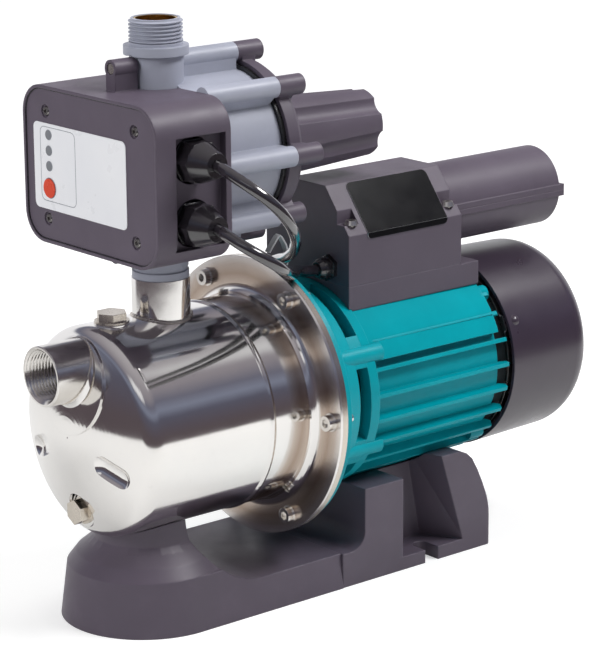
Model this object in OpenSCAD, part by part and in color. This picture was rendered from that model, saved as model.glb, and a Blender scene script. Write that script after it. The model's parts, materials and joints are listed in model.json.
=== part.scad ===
// Self-priming monoblock pump with a finned motor, a pressure controller and a moulded base.
// Millimetres. The shaft lies along X, +X runs from the suction mouth to the fan, +Z is up.
// The origin lies on the ground plane straight below the axis of the discharge.

/* [Base] */
// Height of the shaft above the ground
shaft_h = 125; // [122:1:140]
// Width of the base across its straight sides
base_w = 108.8; // [100:0.5:120]
// Distance of the nose centre in front of the discharge axis
nose_back = 15.1; // [10:0.5:25]
// Height of the rim round the nose
nose_h = 34; // [28:1:38]
// Height of the low bridge between the pedestal and the rear block
bridge_h = 23; // [20:1:26]
// Place of the joint between the two base mouldings
seam_x = 101.5; // [92:0.5:108]
// Rear end of the base
base_end_x = 234.4; // [225:0.5:245]
// Wall of the base mouldings
base_wall = 3.5; // [2.5:0.5:5]
// Width of the bolt slots in the rear feet
slot_w = 11.6; // [9:0.2:13]
// Thickness of the rear feet at the slots
foot_t = 9; // [7:0.5:12]

/* [Pump casing] */
// Outer radius of the stainless barrel
barrel_r = 66.5; // [62:0.5:68]
// Thickness of the pressed sheet
sheet_t = 2; // [1.5:0.1:2.5]
// Distance from the discharge axis forward to the tip of the dome
dome_front = 73.5; // [68:0.5:78]
// Crown radius of the dome
crown_r = 142.9; // [130:1:160]
// Corner radius between the dome and the barrel
knuckle_r = 11.4; // [9:0.2:14]
// Front face of the casing flange
flange_x = 68.5; // [66:0.5:72]
// Outer radius of the casing flange
flange_r = 90.6; // [88:0.2:94]
// Radius of the circle of flange screws
screw_circle_r = 81.3; // [80.8:0.1:82]
// Number of flange screws
flange_screw_n = 6; // [4:1:8]
// Radius of the screw circle of a socket head
flange_head_r = 5; // [4.5:0.1:5.5]
// Outer radius of the suction socket
suction_r = 18.8; // [18:0.1:20]
// Radius of the threaded hole of the suction socket
suction_hole_r = 15.15; // [14.5:0.05:15.3]
// Distance of the suction axis below the top of the barrel
suction_down = 24.3; // [22.5:0.1:28.5]
// Distance from the discharge axis forward to the suction mouth
suction_front = 91.7; // [86:0.5:96]
// Outer radius of the discharge neck
neck_r = 18.2; // [17.6:0.1:19.5]
// Height of the discharge neck's top above the shaft
neck_up = 90; // [84:0.5:91]
// Width across the flats of the priming plug
prime_af = 17; // [14:0.5:19]
// Distance of the priming plug in front of the discharge axis
prime_front = 38; // [34:0.5:39.5]
// Width across the flats of the drain plug
drain_af = 14; // [12:0.5:16]
// Distance of the drain plug above the lowest line of the barrel
drain_up = 17.9; // [17.5:0.1:20.5]

/* [Hydraulics] */
// Radius of the impeller
impeller_r = 50; // [44:0.5:51]
// Number of impeller vanes
vane_n = 6; // [4:1:8]
// Throat radius of the ejector
throat_r = 6; // [4.5:0.5:8]

/* [Motor] */
// Front face of the motor bracket
bracket_x = 74.5; // [74.5:0.5:76]
// Front end of the motor casing
casing_x = 113.5; // [113.5:0.5:115]
// Rear end of the motor casing
casing_end_x = 240.5; // [238:0.5:241]
// Radius of the casing between the fins
casing_r = 61; // [60:0.2:62]
// Radius over the tips of the fins
fin_r = 67.3; // [66:0.1:67.6]
// Thickness of a fin
fin_t = 2.6; // [2:0.1:3.4]
// Angle between two fins
fin_step = 14.6; // [12:0.2:18]
// Radius of the rotor core
rotor_r = 30; // [27:0.5:31]
// Air gap between rotor and stator
air_gap = 0.4; // [0.3:0.05:0.8]
// Radius of the shaft in the rotor core
shaft_r = 11; // [10:0.5:12]
// Radius over the fan blades
fan_r = 56; // [48:0.5:58]
// Number of fan blades
blade_n = 9; // [5:1:12]
// Radius of the fan cover at its open end
cover_r = 66.8; // [66:0.2:69]
// Rear face of the fan cover
cover_end_x = 319.3; // [312:0.5:324]
// Wall of the fan cover
cover_wall = 2.2; // [1.6:0.1:2.6]
// Number of ring slots in the rear grille
grille_n = 5; // [3:1:6]

/* [Terminal box] */
// Half of the width of the terminal box
box_half = 41; // [38:0.5:43]
// Front face of the terminal box
box_x = 118.5; // [117:0.5:121]
// Rear face of the box above its skirt
box_end_x = 216.2; // [210:0.5:222]
// Rear end of the skirt
skirt_end_x = 232.1; // [228:0.5:234]
// Height of the joint between skirt and lid, above the shaft
lid_up = 70; // [68:0.5:73]
// Height of the flat top of the lid, above the shaft
lid_top_up = 132.5; // [127:0.5:137]
// Wall of the terminal box
box_wall = 2.5; // [2:0.1:3]
// Radius of the capacitor housing
cap_r = 27; // [26:0.2:28]
// Height of the capacitor housing's axis above the shaft
cap_up = 102; // [100:0.5:103]
// Rear end of the capacitor housing
cap_end_x = 321.3; // [310:0.5:326]

/* [Controller] */
// Height of the controller's axis above the shaft
ctrl_up = 165.5; // [164:0.5:167]
// Radius of the valve body
valve_r = 47.5; // [46:0.2:48.5]
// Radius of the circle of clamping screws
clamp_circle_r = 57; // [56:0.2:58]
// Number of clamping columns
column_n = 8; // [6:1:8]
// Radius of a clamping column
column_r = 6.5; // [5.5:0.1:7]
// Rear face of the valve body
valve_end_x = 58.8; // [56:0.5:62]
// Radius of the vertical pipe through the controller
pipe_r = 16.5; // [16:0.1:17]
// Radius of the collar under the outlet thread
collar_r = 20; // [19:0.1:21]
// Height of the outlet rim above the controller's axis
outlet_up = 84.8; // [80:0.5:90]
// Radius over the crests of the outlet thread
outlet_r = 16.6; // [16:0.05:16.8]
// Bore of the outlet
outlet_bore_r = 12.3; // [11:0.1:12.6]
// Radius of the spring housing at its root
spring_case_r = 26.9; // [25:0.1:28]
// Radius of the spring housing at its end
spring_case_end_r = 22; // [21.5:0.1:23]
// Rear end of the spring housing
spring_case_end_x = 164.3; // [155:0.5:170]
// Number of flutes along the spring housing
flute_n = 6; // [4:1:8]
// Width of the electronics box
ebox_w = 135.4; // [132:0.2:140]
// Height of the electronics box
ebox_h = 98; // [95:0.2:100]
// Front rim of the electronics box
ebox_x = -52.3; // [-54:0.1:-50]
// Corner radius of the electronics box
ebox_corner = 19; // [15:0.5:22]
// Radius of the restart button
button_r = 6; // [5:0.1:6.5]
// Width across the flats of a cable gland
gland_af = 24; // [22:0.5:25]

/* [Hidden] */
$fn = 72;

teal = [0.0, 0.62, 0.66];
charcoal = [0.33, 0.32, 0.35];
black = [0.06, 0.06, 0.07];
steel = [0.78, 0.78, 0.77];
slate = [0.56, 0.60, 0.67];

// Clearances
seat_gap = 0.3;
run_gap = 0.05;
slip_gap = 0.2;

// Positions that follow from the driving dimensions
barrel_top_z = shaft_h + barrel_r;
knuckle_x = crown_r - dome_front
    - sqrt(pow(crown_r - knuckle_r, 2) - pow(barrel_r - knuckle_r, 2));
flange_t = 2;
cover_plate_x = flange_x + flange_t;
suction_up = barrel_r - suction_down;
suction_z = shaft_h + suction_up;
neck_z = shaft_h + neck_up;
half_w = base_w / 2;
nose_r = half_w;
block_h = shaft_h - 62;
lid_z = shaft_h + lid_up;
lid_top_z = shaft_h + lid_top_up;
cap_z = shaft_h + cap_up;
ctrl_z = shaft_h + ctrl_up;
outlet_z = ctrl_z + outlet_up;
drain_z = shaft_h - barrel_r + drain_up;
barrel_in_r = barrel_r - sheet_t;
cover_rim_r = barrel_in_r - 6.5;
oring_groove_r = barrel_in_r - 2.7;
diffuser_r = cover_rim_r + 1;
stator_r = casing_r - 4;
end_seat_r = stator_r + 1.5;
ebox_z = ctrl_z - 5.5;
ebox_end_x = 3;
gland_x = -22.2;
gland_zs = [ctrl_z + 9.5, ctrl_z - 28.5];
pocket_y = -54;
cable_r = 3.5;

// Axis helpers
module along_x(x0, y0 = 0, z0 = 0) { translate([x0, y0, z0]) rotate([0, 90, 0]) children(); }
module along_y(x0, y0, z0) { translate([x0, y0, z0]) rotate([90, 0, 0]) children(); }
module on_shaft(x0 = 0) { along_x(x0, 0, shaft_h) children(); }
module rod_x(x0, x1, r, y0 = 0, z0 = 0) { along_x(x0, y0, z0) cylinder(h = x1 - x0, r = r); }
module shaft_rod(x0, x1, r) { on_shaft(x0) cylinder(h = x1 - x0, r = r); }
module shaft_ring(x0, x1, ro, ri) {
    difference() {
        shaft_rod(x0, x1, ro);
        shaft_rod(x0 - 1, x1 + 1, ri);
    }
}
module shaft_cone(x0, x1, r0, r1) { on_shaft(x0) cylinder(h = x1 - x0, r1 = r0, r2 = r1); }
// Copies placed round the shaft, at angles counted from the top towards -Y
module round_shaft(angles, r) {
    for (a = angles) translate([0, -r * sin(a), shaft_h + r * cos(a)]) children();
}
module hex_prism(af, h) { cylinder(h = h, r = af / 2 / cos(30), $fn = 6); }
// Rectangle with true round corners
module rounded_rect(w, h, r) {
    square([w - 2 * r, h], center = true);
    square([w, h - 2 * r], center = true);
    for (sx = [-1, 1], sy = [-1, 1]) translate([sx * (w / 2 - r), sy * (h / 2 - r)]) circle(r);
}
// The same rectangle raised along X, its width along Y
module panel_x(x0, x1, w, h, r, zc) {
    translate([x0, 0, zc]) rotate([90, 0, 90]) linear_extrude(x1 - x0) rounded_rect(w, h, r);
}

// Ribs on the underside leave a grid of pockets
module rib_pockets(xs, ys, h, length, width) {
    for (x = xs, y = ys) translate([x, y - width / 2, -1]) cube([length, width, h + 1]);
}

module base_front() {
    ramp_r = 45;
    ramp_x = 36;
    saddle_r = 33.5;
    pocket_w = 26;
    rib = 3;
    // A wide rib lies under the discharge axis, three narrow ones between the pockets behind it
    pocket_l = (seam_x - base_wall - 4 * rib) / 4;
    color(charcoal) difference() {
        union() {
            // Nose with its ridge and the pedestal that rises from it
            translate([-nose_back, 0, 0]) rotate_extrude($fn = 120) polygon([[0, 0], [nose_r + 0.6, 0],
                [nose_r - 3.9, nose_h + 0.4], [nose_r - 9.8, nose_h + 8], [saddle_r, nose_h + 17],
                [saddle_r - 1, shaft_h - barrel_r + 14], [0, shaft_h - barrel_r + 14]]);
            translate([-nose_back, 0, 0]) rotate([90, 0, 90]) linear_extrude(seam_x + nose_back)
                polygon([[-half_w - 0.5, 0], [half_w + 0.5, 0], [nose_r - 3.9, nose_h + 0.4],
                    [3.9 - nose_r, nose_h + 0.4]]);
            // Rear of the pedestal
            hull() {
                translate([-nose_back, 0, nose_h])
                    cylinder(h = 18, r1 = nose_r - 4, r2 = saddle_r, $fn = 32);
                translate([18, 0, nose_h - 2])
                    cylinder(h = 18, r1 = nose_r - 8, r2 = saddle_r - 6, $fn = 32);
            }
        }
        // The pump barrel lies in a cradle
        shaft_rod(knuckle_x - 80, seam_x, barrel_r + seat_gap);
        // A long hollow curve runs from the pedestal down to the bridge
        translate([ramp_x, 0, bridge_h + ramp_r]) rotate([90, 0, 0])
            cylinder(h = base_w + 20, r = ramp_r, center = true, $fn = 96);
        translate([ramp_x, -half_w - 10, bridge_h]) cube([seam_x, base_w + 20, 60]);
        rib_pockets([for (i = [0:3]) rib + (pocket_l + rib) * i], [-32, 0, 32], bridge_h - base_wall,
            pocket_l, pocket_w);
        rib_pockets([-rib - pocket_w], [-32, 0, 32], bridge_h - base_wall, pocket_w, pocket_w);
        rib_pockets([-2 * rib - 2 * pocket_w], [0], bridge_h - base_wall, pocket_w, pocket_w);
        // Clearance holes of the two joining screws
        for (sy = [-1, 1]) rod_x(seam_x - 8, seam_x + 1, 2.6, sy * 32, 11);
    }
}

// Side view of the rear block: low bridge, column, then the falling rear edge
module block_profile() {
    crest_h = block_h + 8;
    polygon([[seam_x, 0], [seam_x, block_h], [160, block_h], [180, crest_h], [base_end_x - 30.5, crest_h],
        [base_end_x - 24, crest_h - 2.5], [base_end_x - 19, crest_h - 7], [base_end_x - 14, crest_h - 15.5],
        [base_end_x - 9.5, crest_h - 25], [base_end_x - 5.5, crest_h - 35], [base_end_x - 2.4, crest_h - 46],
        [base_end_x - 0.6, crest_h - 57], [base_end_x, 5], [base_end_x, 0]]);
}
module side_bay() {
    // Scooped bay between the column and the rear wall, wider at the bottom
    hull() {
        translate([153.5, -half_w - 1, foot_t]) cube([54, 0.5, 0.5]);
        translate([153.5, -28, foot_t]) cube([39, 0.5, 0.5]);
        translate([153.5, -half_w - 1, block_h + 12]) cube([33, 0.5, 0.5]);
        translate([153.5, -28, block_h + 12]) cube([26, 0.5, 0.5]);
    }
}
module base_rear() {
    column_x = 120.5;
    corner_r = 12;
    slot_x = 179.3;
    slot_y = half_w - 10.6;
    color(charcoal) difference() {
        intersection() {
            translate([0, half_w, 0]) rotate([90, 0, 0]) linear_extrude(base_w) block_profile();
            union() {
                linear_extrude(block_h + 8) translate([seam_x, -half_w]) square([60, base_w]);
                translate([(seam_x + base_end_x) / 2, 0, 0]) linear_extrude(block_h + 8)
                    rounded_rect(base_end_x - seam_x, base_w, 5);
            }
        }
        // Step down to the bridge, with a round corner
        translate([seam_x - 1, -half_w - 1, bridge_h + corner_r])
            cube([column_x - seam_x + 1, base_w + 2, block_h]);
        translate([seam_x - 1, -half_w - 1, bridge_h])
            cube([column_x - corner_r - seam_x + 1, base_w + 2, block_h]);
        translate([column_x - corner_r, 0, bridge_h + corner_r]) rotate([90, 0, 0])
            cylinder(h = base_w + 2, r = corner_r, center = true);
        // The motor lies in a cradle
        shaft_rod(seam_x - 1, base_end_x + 1, fin_r + 0.4 + seat_gap);
        shaft_rod(seam_x - 1, casing_x + 7 + seat_gap, ring_r + seat_gap);
        side_bay();
        mirror([0, 1, 0]) side_bay();
        // Open bolt slots in the feet
        for (sy = [-1, 1]) {
            translate([slot_x, sy * slot_y, -1]) cylinder(h = foot_t + 2, r = slot_w / 2);
            translate([slot_x - slot_w / 2, sy > 0 ? slot_y : -half_w - 1, -1])
                cube([slot_w, half_w + 1 - slot_y, foot_t + 2]);
        }
        rib_pockets([seam_x + base_wall], [-32, 0, 32], bridge_h - base_wall, 22, 26);
        rib_pockets([for (i = [3:-1:1]) base_end_x - 31.6 * i - 1], [0], 44, 26, 26);
        for (sy = [-1, 1]) rod_x(seam_x - 1, seam_x + base_wall + 1, 2, sy * 32, 11);
        // Holes of the four motor screws
        for (x = motor_screw_xs, sy = [-1, 1]) {
            translate([x, sy * motor_screw_y, -1]) cylinder(h = 90, r = 2.7);
            translate([x, sy * motor_screw_y, -1]) cylinder(h = 22 + 1, r = 5.5);
        }
    }
}
motor_screw_xs = [132, 204];
motor_screw_y = 19.5;
module base_screws() {
    color(steel) {
        for (sy = [-1, 1]) {
            rod_x(seam_x - base_wall - 0.1, seam_x + base_wall, 1.95, sy * 32, 11);
            rod_x(seam_x - base_wall - 3, seam_x - base_wall - 0.05, 4.2, sy * 32, 11);
        }
        for (x = motor_screw_xs, sy = [-1, 1]) {
            translate([x, sy * motor_screw_y, 18.9]) cylinder(h = 3, r = 5);
            translate([x, sy * motor_screw_y, 21.8])
                cylinder(h = shaft_h - casing_r + 2 - 21.8, r = 2.5);
        }
    }
}

// Half outline of the pressed casing, grown by g: [radius, place along the shaft]
function arc(cx, cy, r, a0, a1, n) =
    [for (i = [0:n]) let (a = a0 + (a1 - a0) * i / n) [cx + r * cos(a), cy + r * sin(a)]];
crown_cx = crown_r - dome_front;
crown_a = asin((barrel_r - knuckle_r) / (crown_r - knuckle_r));
function casing_outline(g, x_end) = concat(
    arc(0, crown_cx, crown_r + g, -90, -90 + crown_a, 22),
    arc(barrel_r - knuckle_r, knuckle_x, knuckle_r + g, -90 + crown_a, 0, 16),
    [[barrel_r + g, x_end], [0, x_end]]);
module casing_solid(g, x_end) { on_shaft() rotate_extrude($fn = 144) polygon(casing_outline(g, x_end)); }
module pressed_dent(g) {
    // Oval dent with round ends, sunk in the dome
    r = 9;
    lift = 5.8;
    inner = 34;
    outer = 48;
    dome_in = crown_cx - sqrt(pow(crown_r, 2) - pow(inner, 2));
    dome_out = crown_cx - sqrt(pow(crown_r, 2) - pow(outer, 2));
    for (side = [-1, 1]) translate([0, 0, shaft_h]) rotate([side * 111.5, 0, 0]) {
        translate([dome_in - lift, 0, inner]) sphere(r = r + g, $fn = 48);
        translate([dome_out - lift, 0, outer]) sphere(r = r + g, $fn = 48);
        translate([dome_in - lift, 0, inner]) rotate([0, atan2(dome_out - dome_in, outer - inner), 0])
            cylinder(h = norm([outer - inner, dome_out - dome_in]), r = r + g);
    }
}
drain_seat_x = -62;
module pump_body() {
    fillet_r = 6;
    bead_x = 34.5;
    color(steel) difference() {
        union() {
            difference() {
                union() {
                    casing_solid(0, flange_x);
                    // Raised pad round the suction socket
                    intersection() {
                        casing_solid(1.8, knuckle_x + 6);
                        rod_x(-suction_front, 0, 29.4, 0, shaft_h + 32);
                    }
                    // Stiffening bead
                    on_shaft(bead_x) rotate_extrude($fn = 144) translate([barrel_r - 2, 0])
                        circle(r = 3, $fn = 32);
                    // Flange with a round corner at the barrel
                    on_shaft() rotate_extrude($fn = 144) polygon(concat(
                        [[barrel_r - 1, flange_x - fillet_r]],
                        arc(barrel_r + fillet_r, flange_x - fillet_r, fillet_r, 180, 90, 8),
                        [[flange_r, flange_x], [flange_r, flange_x + flange_t],
                        [barrel_r - 1, flange_x + flange_t]]));
                }
                casing_solid(-sheet_t, flange_x + flange_t + 1);
            }
            intersection() {
                casing_solid(0, knuckle_x + 6);
                union() {
                    pressed_dent(sheet_t);
                    rod_x(drain_seat_x - 1, drain_seat_x + 2, 13, 0, drain_z);
                }
            }
            // Threaded bosses of the drain and the priming plug
            rod_x(drain_seat_x, drain_seat_x + 9, 8, 0, drain_z);
            rod_x(drain_seat_x - 0.5, drain_seat_x + 3, 11, 0, drain_z);
            difference() {
                translate([-prime_front, 0, barrel_top_z - 6]) cylinder(h = 6 + prime_seat_h, r = 11.3);
                casing_solid(-sheet_t - 3, flange_x);
            }
        }
        pressed_dent(0);
        rod_x(-suction_front, drain_seat_x - 0.5, 11.5, 0, drain_z);
        rod_x(drain_seat_x - 2, drain_seat_x + 10, 5 + slip_gap, 0, drain_z);
        translate([-prime_front, 0, barrel_top_z - 12]) cylinder(h = 20, r = 6.5 + slip_gap);
        // Openings under the sockets
        rod_x(-suction_front, -40, suction_r + run_gap, 0, suction_z);
        translate([0, 0, barrel_top_z - 12]) cylinder(h = 20, r = 13);
        round_shaft(screw_angles, screw_circle_r) rod_x(flange_x - 1, flange_x + flange_t + 1, 3.3);
    }
}
screw_angles = [for (i = [0:flange_screw_n - 1]) 30 + i * 360 / flange_screw_n];

module suction_socket() {
    color(steel) difference() {
        rod_x(-suction_front, -53, suction_r, 0, suction_z);
        rod_x(-suction_front - 1, -52, suction_hole_r, 0, suction_z);
        along_x(-suction_front - 0.01, 0, suction_z)
            cylinder(h = 1.6, r1 = suction_hole_r + 1.6, r2 = suction_hole_r);
    }
}
module discharge_socket() {
    color(steel) difference() {
        translate([0, 0, barrel_top_z - 6]) cylinder(h = neck_z - barrel_top_z + 6, r = neck_r);
        translate([0, 0, barrel_top_z - 8]) cylinder(h = 60, r = 15.4);
        shaft_rod(-60, 60, barrel_r + 0.02);
    }
}
prime_seat_h = 0.6;
module prime_plug() {
    seat_z = barrel_top_z + prime_seat_h;
    color([0.80, 0.74, 0.60]) translate([-prime_front, 0, 0]) {
        translate([0, 0, seat_z + 0.05]) cylinder(h = 1.3, r = 10.8);
        translate([0, 0, seat_z + 1.35]) hex_prism(prime_af, 5);
        translate([0, 0, seat_z - 7]) cylinder(h = 7.2, r = 6.5);
    }
}
module drain_plug() {
    color([0.80, 0.74, 0.60]) translate([drain_seat_x - 0.55, 0, drain_z])
        rotate([0, -90, 0]) {
            cylinder(h = 1.2, r = 8.6);
            translate([0, 0, 1.2]) hex_prism(drain_af, 6.6);
            translate([0, 0, -8]) cylinder(h = 8.2, r = 5);
        }
}
module socket_screw(x0, head_r, head_h, shank_r, length) {
    // Head in front of x0, with a hexagon socket
    difference() {
        rod_x(x0 - head_h, x0, head_r);
        along_x(x0 - head_h - 0.1) hex_prism(head_r, head_h * 0.6);
    }
    rod_x(x0 - 0.1, x0 + length, shank_r);
}
module flange_screws() {
    color([0.72, 0.70, 0.66]) round_shaft(screw_angles, screw_circle_r) {
        socket_screw(flange_x - 0.95, flange_head_r, 4.2, 2.95, 17);
        difference() {
            rod_x(flange_x - 0.9, flange_x - 0.02, 5.9);
            rod_x(flange_x - 2, flange_x + 1, 3.1);
        }
    }
}
module casing_cover() {
    color([0.82, 0.81, 0.78]) difference() {
        union() {
            shaft_ring(cover_plate_x + 0.02, bracket_x - 0.02, flange_r, 16);
            shaft_ring(cover_plate_x - 5.5, cover_plate_x + 0.1, barrel_in_r - 0.15, cover_rim_r);
        }
        // Groove of the sealing ring
        shaft_ring(cover_plate_x - 3.6, cover_plate_x - 0.6, barrel_r, oring_groove_r);
        round_shaft(screw_angles, screw_circle_r) rod_x(cover_plate_x - 1, bracket_x + 1, 3.3);
    }
}
module body_oring() {
    color(black) on_shaft(cover_plate_x - 2.1) rotate_extrude($fn = 96)
        translate([(oring_groove_r + barrel_in_r) / 2, 0]) circle(r = 1.25, $fn = 24);
}

// Wet end
impeller_x = 46;
module diffuser() {
    hub_x = 24;
    color([0.24, 0.25, 0.27]) difference() {
        union() {
            shaft_rod(hub_x, cover_plate_x - 0.3, diffuser_r - 1.6);
            // Return vanes on the front
            for (i = [0:7]) translate([0, 0, shaft_h]) rotate([i * 45, 0, 0])
                translate([hub_x - 8, -1.2, 21]) cube([9, 2.4, diffuser_r - 27]);
        }
        shaft_rod(impeller_x - 2, cover_plate_x + 1, impeller_r + 2.5);
        shaft_rod(hub_x - 10, impeller_x, 15);
    }
}
ejector_x = -48;
intake_x = -35;
module ejector_body() {
    end_x = 15.6;
    color([0.20, 0.21, 0.23]) difference() {
        union() {
            shaft_rod(ejector_x, end_x, 16);
            shaft_rod(end_x - 4, 23.7, 20);
            translate([intake_x, 0, shaft_h]) cylinder(h = suction_up, r = 13);
            rod_x(-52.8, intake_x, 17.5, 0, suction_z);
            translate([intake_x, 0, suction_z]) sphere(r = 13);
        }
        // Mixing throat between two cones
        on_shaft(ejector_x + 20) cylinder(h = 10, r1 = 10, r2 = throat_r);
        shaft_rod(ejector_x + 29, -4, throat_r);
        on_shaft(-4.1) cylinder(h = 28, r1 = throat_r, r2 = 14.9);
        shaft_rod(ejector_x + 3, ejector_x + 20.1, 10);
        shaft_rod(ejector_x - 1, ejector_x + 3.5, 12.02);
        translate([intake_x, 0, shaft_h]) cylinder(h = suction_up, r = 9.5);
        rod_x(-54, intake_x, 12, 0, suction_z);
    }
}
module ejector_nozzle() {
    color([0.70, 0.58, 0.30]) difference() {
        union() {
            shaft_rod(ejector_x - 0.5, ejector_x + 3.45, 12);
            shaft_rod(ejector_x + 3.4, ejector_x + 14, 7);
            on_shaft(ejector_x + 13.9) cylinder(h = 8, r1 = 7, r2 = 4.6);
        }
        on_shaft(ejector_x - 1) cylinder(h = 24, r1 = 6.5, r2 = 3);
    }
}
module vane(r0, r1, sweep, h, t) {
    // Backward-curved vane made of short straight steps
    steps = 6;
    for (i = [0:steps - 1]) {
        a0 = sweep * i / steps;
        a1 = sweep * (i + 1) / steps;
        q0 = r0 + (r1 - r0) * i / steps;
        q1 = r0 + (r1 - r0) * (i + 1) / steps;
        p0 = [q0 * cos(a0), q0 * sin(a0)];
        p1 = [q1 * cos(a1), q1 * sin(a1)];
        d = p1 - p0;
        translate([p0[0], p0[1], 0]) rotate([0, 0, atan2(d[1], d[0])])
            translate([-0.4, -t / 2, 0]) cube([norm(d) + 0.8, t, h]);
    }
}
module impeller() {
    color([0.62, 0.60, 0.55]) on_shaft(impeller_x) difference() {
        union() {
            cylinder(h = 2.2, r = impeller_r);
            translate([0, 0, 9]) cylinder(h = 2.4, r = impeller_r);
            cylinder(h = 21, r = 11);
            translate([0, 0, -6]) cylinder(h = 7, r = 14.5);
            for (i = [0:vane_n - 1]) rotate([0, 0, i * 360 / vane_n])
                translate([0, 0, 1.5]) vane(19, impeller_r - 1.2, 62, 8, 2);
        }
        // Eye of the impeller and its hub bore
        translate([0, 0, -7]) difference() {
            cylinder(h = 16, r = 12.8);
            translate([0, 0, 7]) cylinder(h = 12, r = 9);
        }
        translate([0, 0, -8]) cylinder(h = 40, r = 5.98);
    }
}
module impeller_nut() {
    color(steel) on_shaft(impeller_x - 6.2) difference() {
        hex_prism(14, 6.1);
        translate([0, 0, -1]) cylinder(h = 9, r = 4.98);
    }
}
module seal_seat() {
    color([0.90, 0.88, 0.84]) shaft_ring(bracket_x - 3, bracket_x + 6, 15.95, 8);
}
module seal_rotary() {
    color([0.25, 0.22, 0.20]) shaft_ring(bracket_x - 3 - 3.9, bracket_x - 3.1, 13, 6.05);
}

// Motor
lug_front_angles = [63, 118, 242, 297];
lug_rear_angles = [41, 143, 217, 319];
front_bearing_x = 92;
front_bearing_r = 20;
front_bearing_t = 12;
rear_bearing_x = 223;
rear_bearing_r = 17.5;
rear_bearing_t = 11;
module motor_bracket() {
    window_x = 104;
    color(teal) difference() {
        union() {
            difference() {
                union() {
                    on_shaft() rotate_extrude($fn = 120) polygon(concat(
                        [[10, bracket_x], [88.5, bracket_x], [88.5, bracket_x + 5], [84, bracket_x + 9]],
                        arc(86, bracket_x + 25, 16, 255, 190, 6),
                        [[68.6, window_x], [68.6, casing_x - 0.02], [10, casing_x - 0.02]]));
                    round_shaft(lug_front_angles, 65.5) rod_x(bracket_x + 18, casing_x + 14, 6.2);
                }
                // Hollow inside, with a wall at the front
                on_shaft() rotate_extrude($fn = 96) polygon([[26, bracket_x + 9], [76, bracket_x + 9],
                    [62, window_x - 6], [60, casing_x + 20], [26, casing_x + 20]]);
                // Ventilation windows between the lugs
                intersection() {
                    shaft_ring(window_x, casing_x - 0.3, 80, 58);
                    translate([0, 0, shaft_h]) for (a = window_angles) window_wedge(a[0], a[1]);
                }
            }
            // Posts that take the tie rods
            round_shaft(tie_angles, tie_circle_r) rod_x(bracket_x + 4, casing_x - 0.1, 4.8);
        }
        // The lug ends slide over the motor casing
        shaft_rod(casing_x - 0.02, casing_x + 20, ring_r + 0.05);
        shaft_rod(bracket_x - 1, front_bearing_x + 1, 16);
        shaft_rod(front_bearing_x, casing_x + 1, front_bearing_r + run_gap);
        round_shaft(screw_angles, screw_circle_r) rod_x(bracket_x - 1, bracket_x + 20, 3);
        round_shaft(tie_angles, tie_circle_r) rod_x(bracket_x + 12, casing_x + 1, 2.1);
    }
}
window_angles = [[8, 52], [70, 111], [128, 172], [188, 232], [249, 290], [308, 352]];
// Wedge of the shaft's cross-section between two angles from the top
module window_wedge(a0, a1) {
    rotate([90, 0, 90]) linear_extrude(300) polygon(concat([[0, 0]],
        [for (i = [0:4]) let (a = a0 + (a1 - a0) * i / 4) flange_r * 1.2 * [-sin(a), cos(a)]]));
}
module ball_race(x0, r_out, t, r_in, ball_r, ball_n) {
    // Outer ring with its ring of balls
    mid = (r_out + r_in) / 2;
    difference() {
        shaft_ring(x0, x0 + t, r_out, mid + ball_r * 0.55);
        on_shaft(x0 + t / 2) rotate_extrude() translate([mid, 0]) circle(r = ball_r + 0.02, $fn = 32);
    }
    for (i = [0:ball_n - 1]) translate([x0 + t / 2, 0, shaft_h]) rotate([i * 360 / ball_n, 0, 0])
        translate([0, 0, mid]) sphere(r = ball_r - 0.02, $fn = 32);
}
module inner_race(x0, t, r_out, r_in, ball_r) {
    mid = (r_out + r_in) / 2;
    difference() {
        shaft_ring(x0, x0 + t, mid - ball_r * 0.55, r_in);
        on_shaft(x0 + t / 2) rotate_extrude() translate([mid, 0]) circle(r = ball_r + 0.04, $fn = 32);
    }
}
front_bore_r = 8.5;
rear_bore_r = 7.5;
front_ball_r = 3.4;
rear_ball_r = 3;
module bearing_races() {
    color([0.75, 0.75, 0.78]) {
        ball_race(front_bearing_x, front_bearing_r, front_bearing_t, front_bore_r, front_ball_r, 8);
        ball_race(rear_bearing_x, rear_bearing_r, rear_bearing_t, rear_bore_r, rear_ball_r, 8);
    }
}
module bearing_inners() {
    color([0.75, 0.75, 0.78]) {
        inner_race(front_bearing_x, front_bearing_t, front_bearing_r, front_bore_r, front_ball_r);
        inner_race(rear_bearing_x, rear_bearing_t, rear_bearing_r, rear_bore_r, rear_ball_r);
    }
}
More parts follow.
